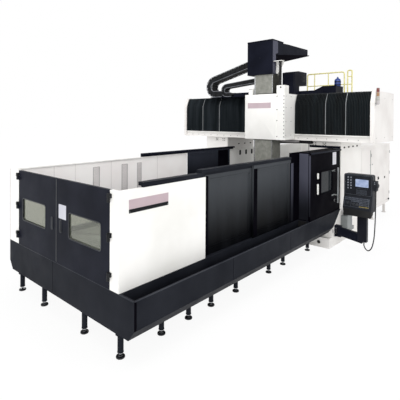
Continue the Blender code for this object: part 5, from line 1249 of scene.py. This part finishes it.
def pendant_arm():
    """Post as a folded channel with rounded edges, its collar, the arm's pivot caps and the bracket's bolts."""
    y = HEAD_NEAR + 0.21
    post = slab(oblong(0.1495, 0.2505, y - 0.0905, y + 0.0905, 0.014, 4), "z", 0.2795, 0.8603, 0.003, 2)
    piece("pendant_post_channel", post, ARM_BLACK, "pendant_arm")
    collar = turned([(0.047, 0.8625), (0.062, 0.8625), (0.062, 0.868), (0.050, 0.875), (0.047, 0.89)], (POST_X, y, 0),
                    "z", 28)
    piece("pendant_collar", collar, BLACK_OXIDE, "pendant")
    pivot = (PIVOT_X, PIVOT_Y, 0)
    upper = turned([(0, 0.4195), (0.030, 0.4195), (0.0415, 0.4165), (0.0415, 0.408), (0, 0.408)], pivot, "z", 28)
    lower = turned([(0, 0.2405), (0.030, 0.2405), (0.0415, 0.2435), (0.0415, 0.252), (0, 0.252)], pivot, "z", 28)
    piece("pendant_pivot_caps", joined(upper, lower), BLACK_OXIDE, "pendant_arm")
    bolts = screws([(x, -1.9705, z) for x in (0.385, 0.475) for z in (0.275, 0.385)], "y", 0.010, 0.007)
    piece("pendant_bracket_bolts", bolts, ZINC, "machine")


def lubrication():
    """Lubrication station: an eased tank with a filler cap, sight glass and pump motor with turned fins, a divider
    block whose pipes bend up the column, and a pressure gauge."""
    near, wall = -2.10, COLUMN_SIDE
    tank = slab(oblong(0.30, 0.60, 0.72, 1.02, 0.03, 4), "y", near, wall - 0.001, 0.012, 3)
    tray = slab(oblong(0.22, 0.305, 0.80, 1.22, 0.012, 3), "y", wall - 0.12, wall - 0.03, 0.006, 2)
    back = slab(oblong(0.30, 0.62, 1.00, 1.30, 0.01, 3), "y", wall - 0.02, wall - 0.001, 0.003, 2)
    block = slab(oblong(0.34, 0.50, 1.06, 1.20, 0.006, 3), "y", wall - 0.075, wall - 0.018, 0.004, 2)
    made = piece("lubrication_tank", joined(tank, tray, back, block), ENAMEL_GREY, "machine")
    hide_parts("lubrication_unit")
    levels = np.linspace(0.0, 0.13, 27)
    radii = np.where(np.arange(27) % 2, 0.041, 0.050)
    motor = turned([(0, -0.01), (0.046, -0.01), *zip(radii, levels), (0.046, 0.138), (0.030, 0.146), (0, 0.148)],
                   (0.80, -2.03, 0.60), "z", 24)
    cap = turned([(0, -0.005), (0.028, -0.005), (0.028, 0.012), (0.034, 0.014), (0.034, 0.028), (0.026, 0.033),
                  (0, 0.034)], (0.93, -2.03, 0.60), "z", 20)
    piece("lubrication_motor", joined(motor, cap), MOTOR_GREY, "machine")
    sight = slab(oblong(0.36, 0.54, 0.975, 0.995, 0.008, 3), "y", near - 0.004, near + 0.002, 0.0015, 2)
    gauge = turned([(0, 0), (0.030, 0), (0.034, -0.003), (0.034, -0.018), (0.031, -0.021), (0.029, -0.018),
                    (0, -0.018)], (1.13, wall - 0.074, 0.545), "y", 24)
    piece("lubrication_sight_and_gauge", joined(sight, gauge), KEY_PALE, "machine")
    outlets = [1.075 + PIPE_PITCH * i for i in range(5)]
    pipes = [pipe(eased([(x, wall - 0.05, 0.495), (x, wall - 0.05, 0.53), (x + 0.01, wall - 0.045, 0.57),
                         (x + 0.02, wall - 0.02, 0.61), (x + 0.02, wall - 0.012, 0.66), (x + 0.02, wall - 0.012, 0.95)],
                        5), 0.004, 8) for x in outlets]
    nuts = copies(turned([(0, 0), (0.009, 0), (0.009, 0.012), (0.006, 0.016), (0, 0.016)], ORIGIN, "z", 6),
                  [(x, wall - 0.05, 0.498) for x in outlets])
    piece("lubrication_pipes", joined(*pipes, nuts), ZINC, "machine")


def levelling_feet():
    """Plated nut and washer of every leg, its domed pad and its collar, each one turned profile set down at all the
    places."""
    front = (-5.03, -4.40, -3.90, -3.42, -2.81, -1.82, -1.31, -0.28)
    rear = (2.30, 2.95, 3.60, 4.25, 4.92)
    places = [(x, -1.64, 0) for x in front] + [(x, 0.89, 0) for x in front] + [(-5.03, -0.895, 0), (-5.03, 0.165, 0)]
    places += [(x, y, 0) for x in rear for y in (-1.0, 1.0)] + [(4.92, -0.33, 0), (4.92, 0.33, 0)]
    nut = turned([(0.0145, 0.0465), (0.026, 0.0465), (0.026, 0.0615), (0.0145, 0.0615)], ORIGIN, "z", 6)
    washer = turned([(0.0145, 0.024), (0.030, 0.024), (0.030, 0.028), (0.0145, 0.028)], ORIGIN, "z", 12)
    piece("leg_nuts", copies(joined(nut, washer), places), SPINDLE_STEEL, "machine")
    pad = turned([(0, 0.0005), (0.051, 0.0005), (0.0525, 0.004), (0.0525, 0.012), (0.047, 0.018), (0.030, 0.024),
                  (0.0, 0.0245)], ORIGIN, "z", 20)
    piece("leg_pads", copies(pad, places), FOOT_BLACK, "machine")
    collar = turned([(0.036, 0.0), (0.0375, 0.001), (0.0375, 0.010), (0.036, 0.011)], (0, 0, 0.0605), "z", 16)
    piece("leg_collars", copies(collar, places), GRAPHITE, "machine")


def tray_details():
    """Folded lips along the tray's outer edges, paler as a painted highlight, the joint at its corner, sheet seams,
    and a black strip of painted shade on the gutter's floor.
    """
    x, y = GUARD_FRONT, TRAY_NEAR
    edge, wall = (TRAY_LIP_LOW, 0.7575), (TRAY_WALL_LOW, 0.747)
    # Painted highlight: the lips' paler colour stands for light along the rims.
    lips = [box((x - 0.002, 0.09), (y - 0.002, y + 0.010), edge, 0.002, 0.002),
            box((x - 0.002, x + 0.010), (y - 0.002, 1.192), edge, 0.002, 0.002, "y")]
    piece("tray_lips", joined(*lips), TRAY_LIP, "machine")
    joint = box((x + 0.003, x + 0.036), (y - 0.0012, y + 0.001), wall, 0.0005, 0.0005)
    seams = [box((at - 0.003, at + 0.003), (y - 0.001, y + 0.001), wall, 0.0004, 0.0004) for at in (-3.32, -1.62)]
    seams.append(box((x - 0.001, x + 0.001), (-0.207, -0.201), (0.305, wall[1]), 0.0004, 0.0004))
    piece("tray_joints", joined(joint, *seams), BAY_BLACK, "machine")
    # Painted shade: a black strip on the gutter's floor stands for the shade deep in the trough.
    gutter_shade_strip = box((x + 0.04, -0.86), (NEAR_WALL - 0.15, NEAR_WALL - 0.03), (0.322, 0.326), 0.001, 0.002)
    piece("tray_gutter_floor_shade", gutter_shade_strip, RUBBER, "machine")


def table():
    """Rubber wiper where the table and its front steel cover meet."""
    wiper = box((-1.785, -1.768), (-0.885, 0.885), (0.702, 0.945), 0.003, 0.004, "y")
    piece("way_cover_wiper", wiper, RUBBER, "machine")


sliding_doors()
end_doors()
side_panel()
far_wall()
operator_bay()
castings()
saddle()
ram_and_cover()
spindle()
chain_tray_lip()
beam_top()
guard_rail()
signal_lamp()
cabinet()
pendant()
handwheel()
pendant_arm()
lubrication()
levelling_feet()
tray_details()
table()
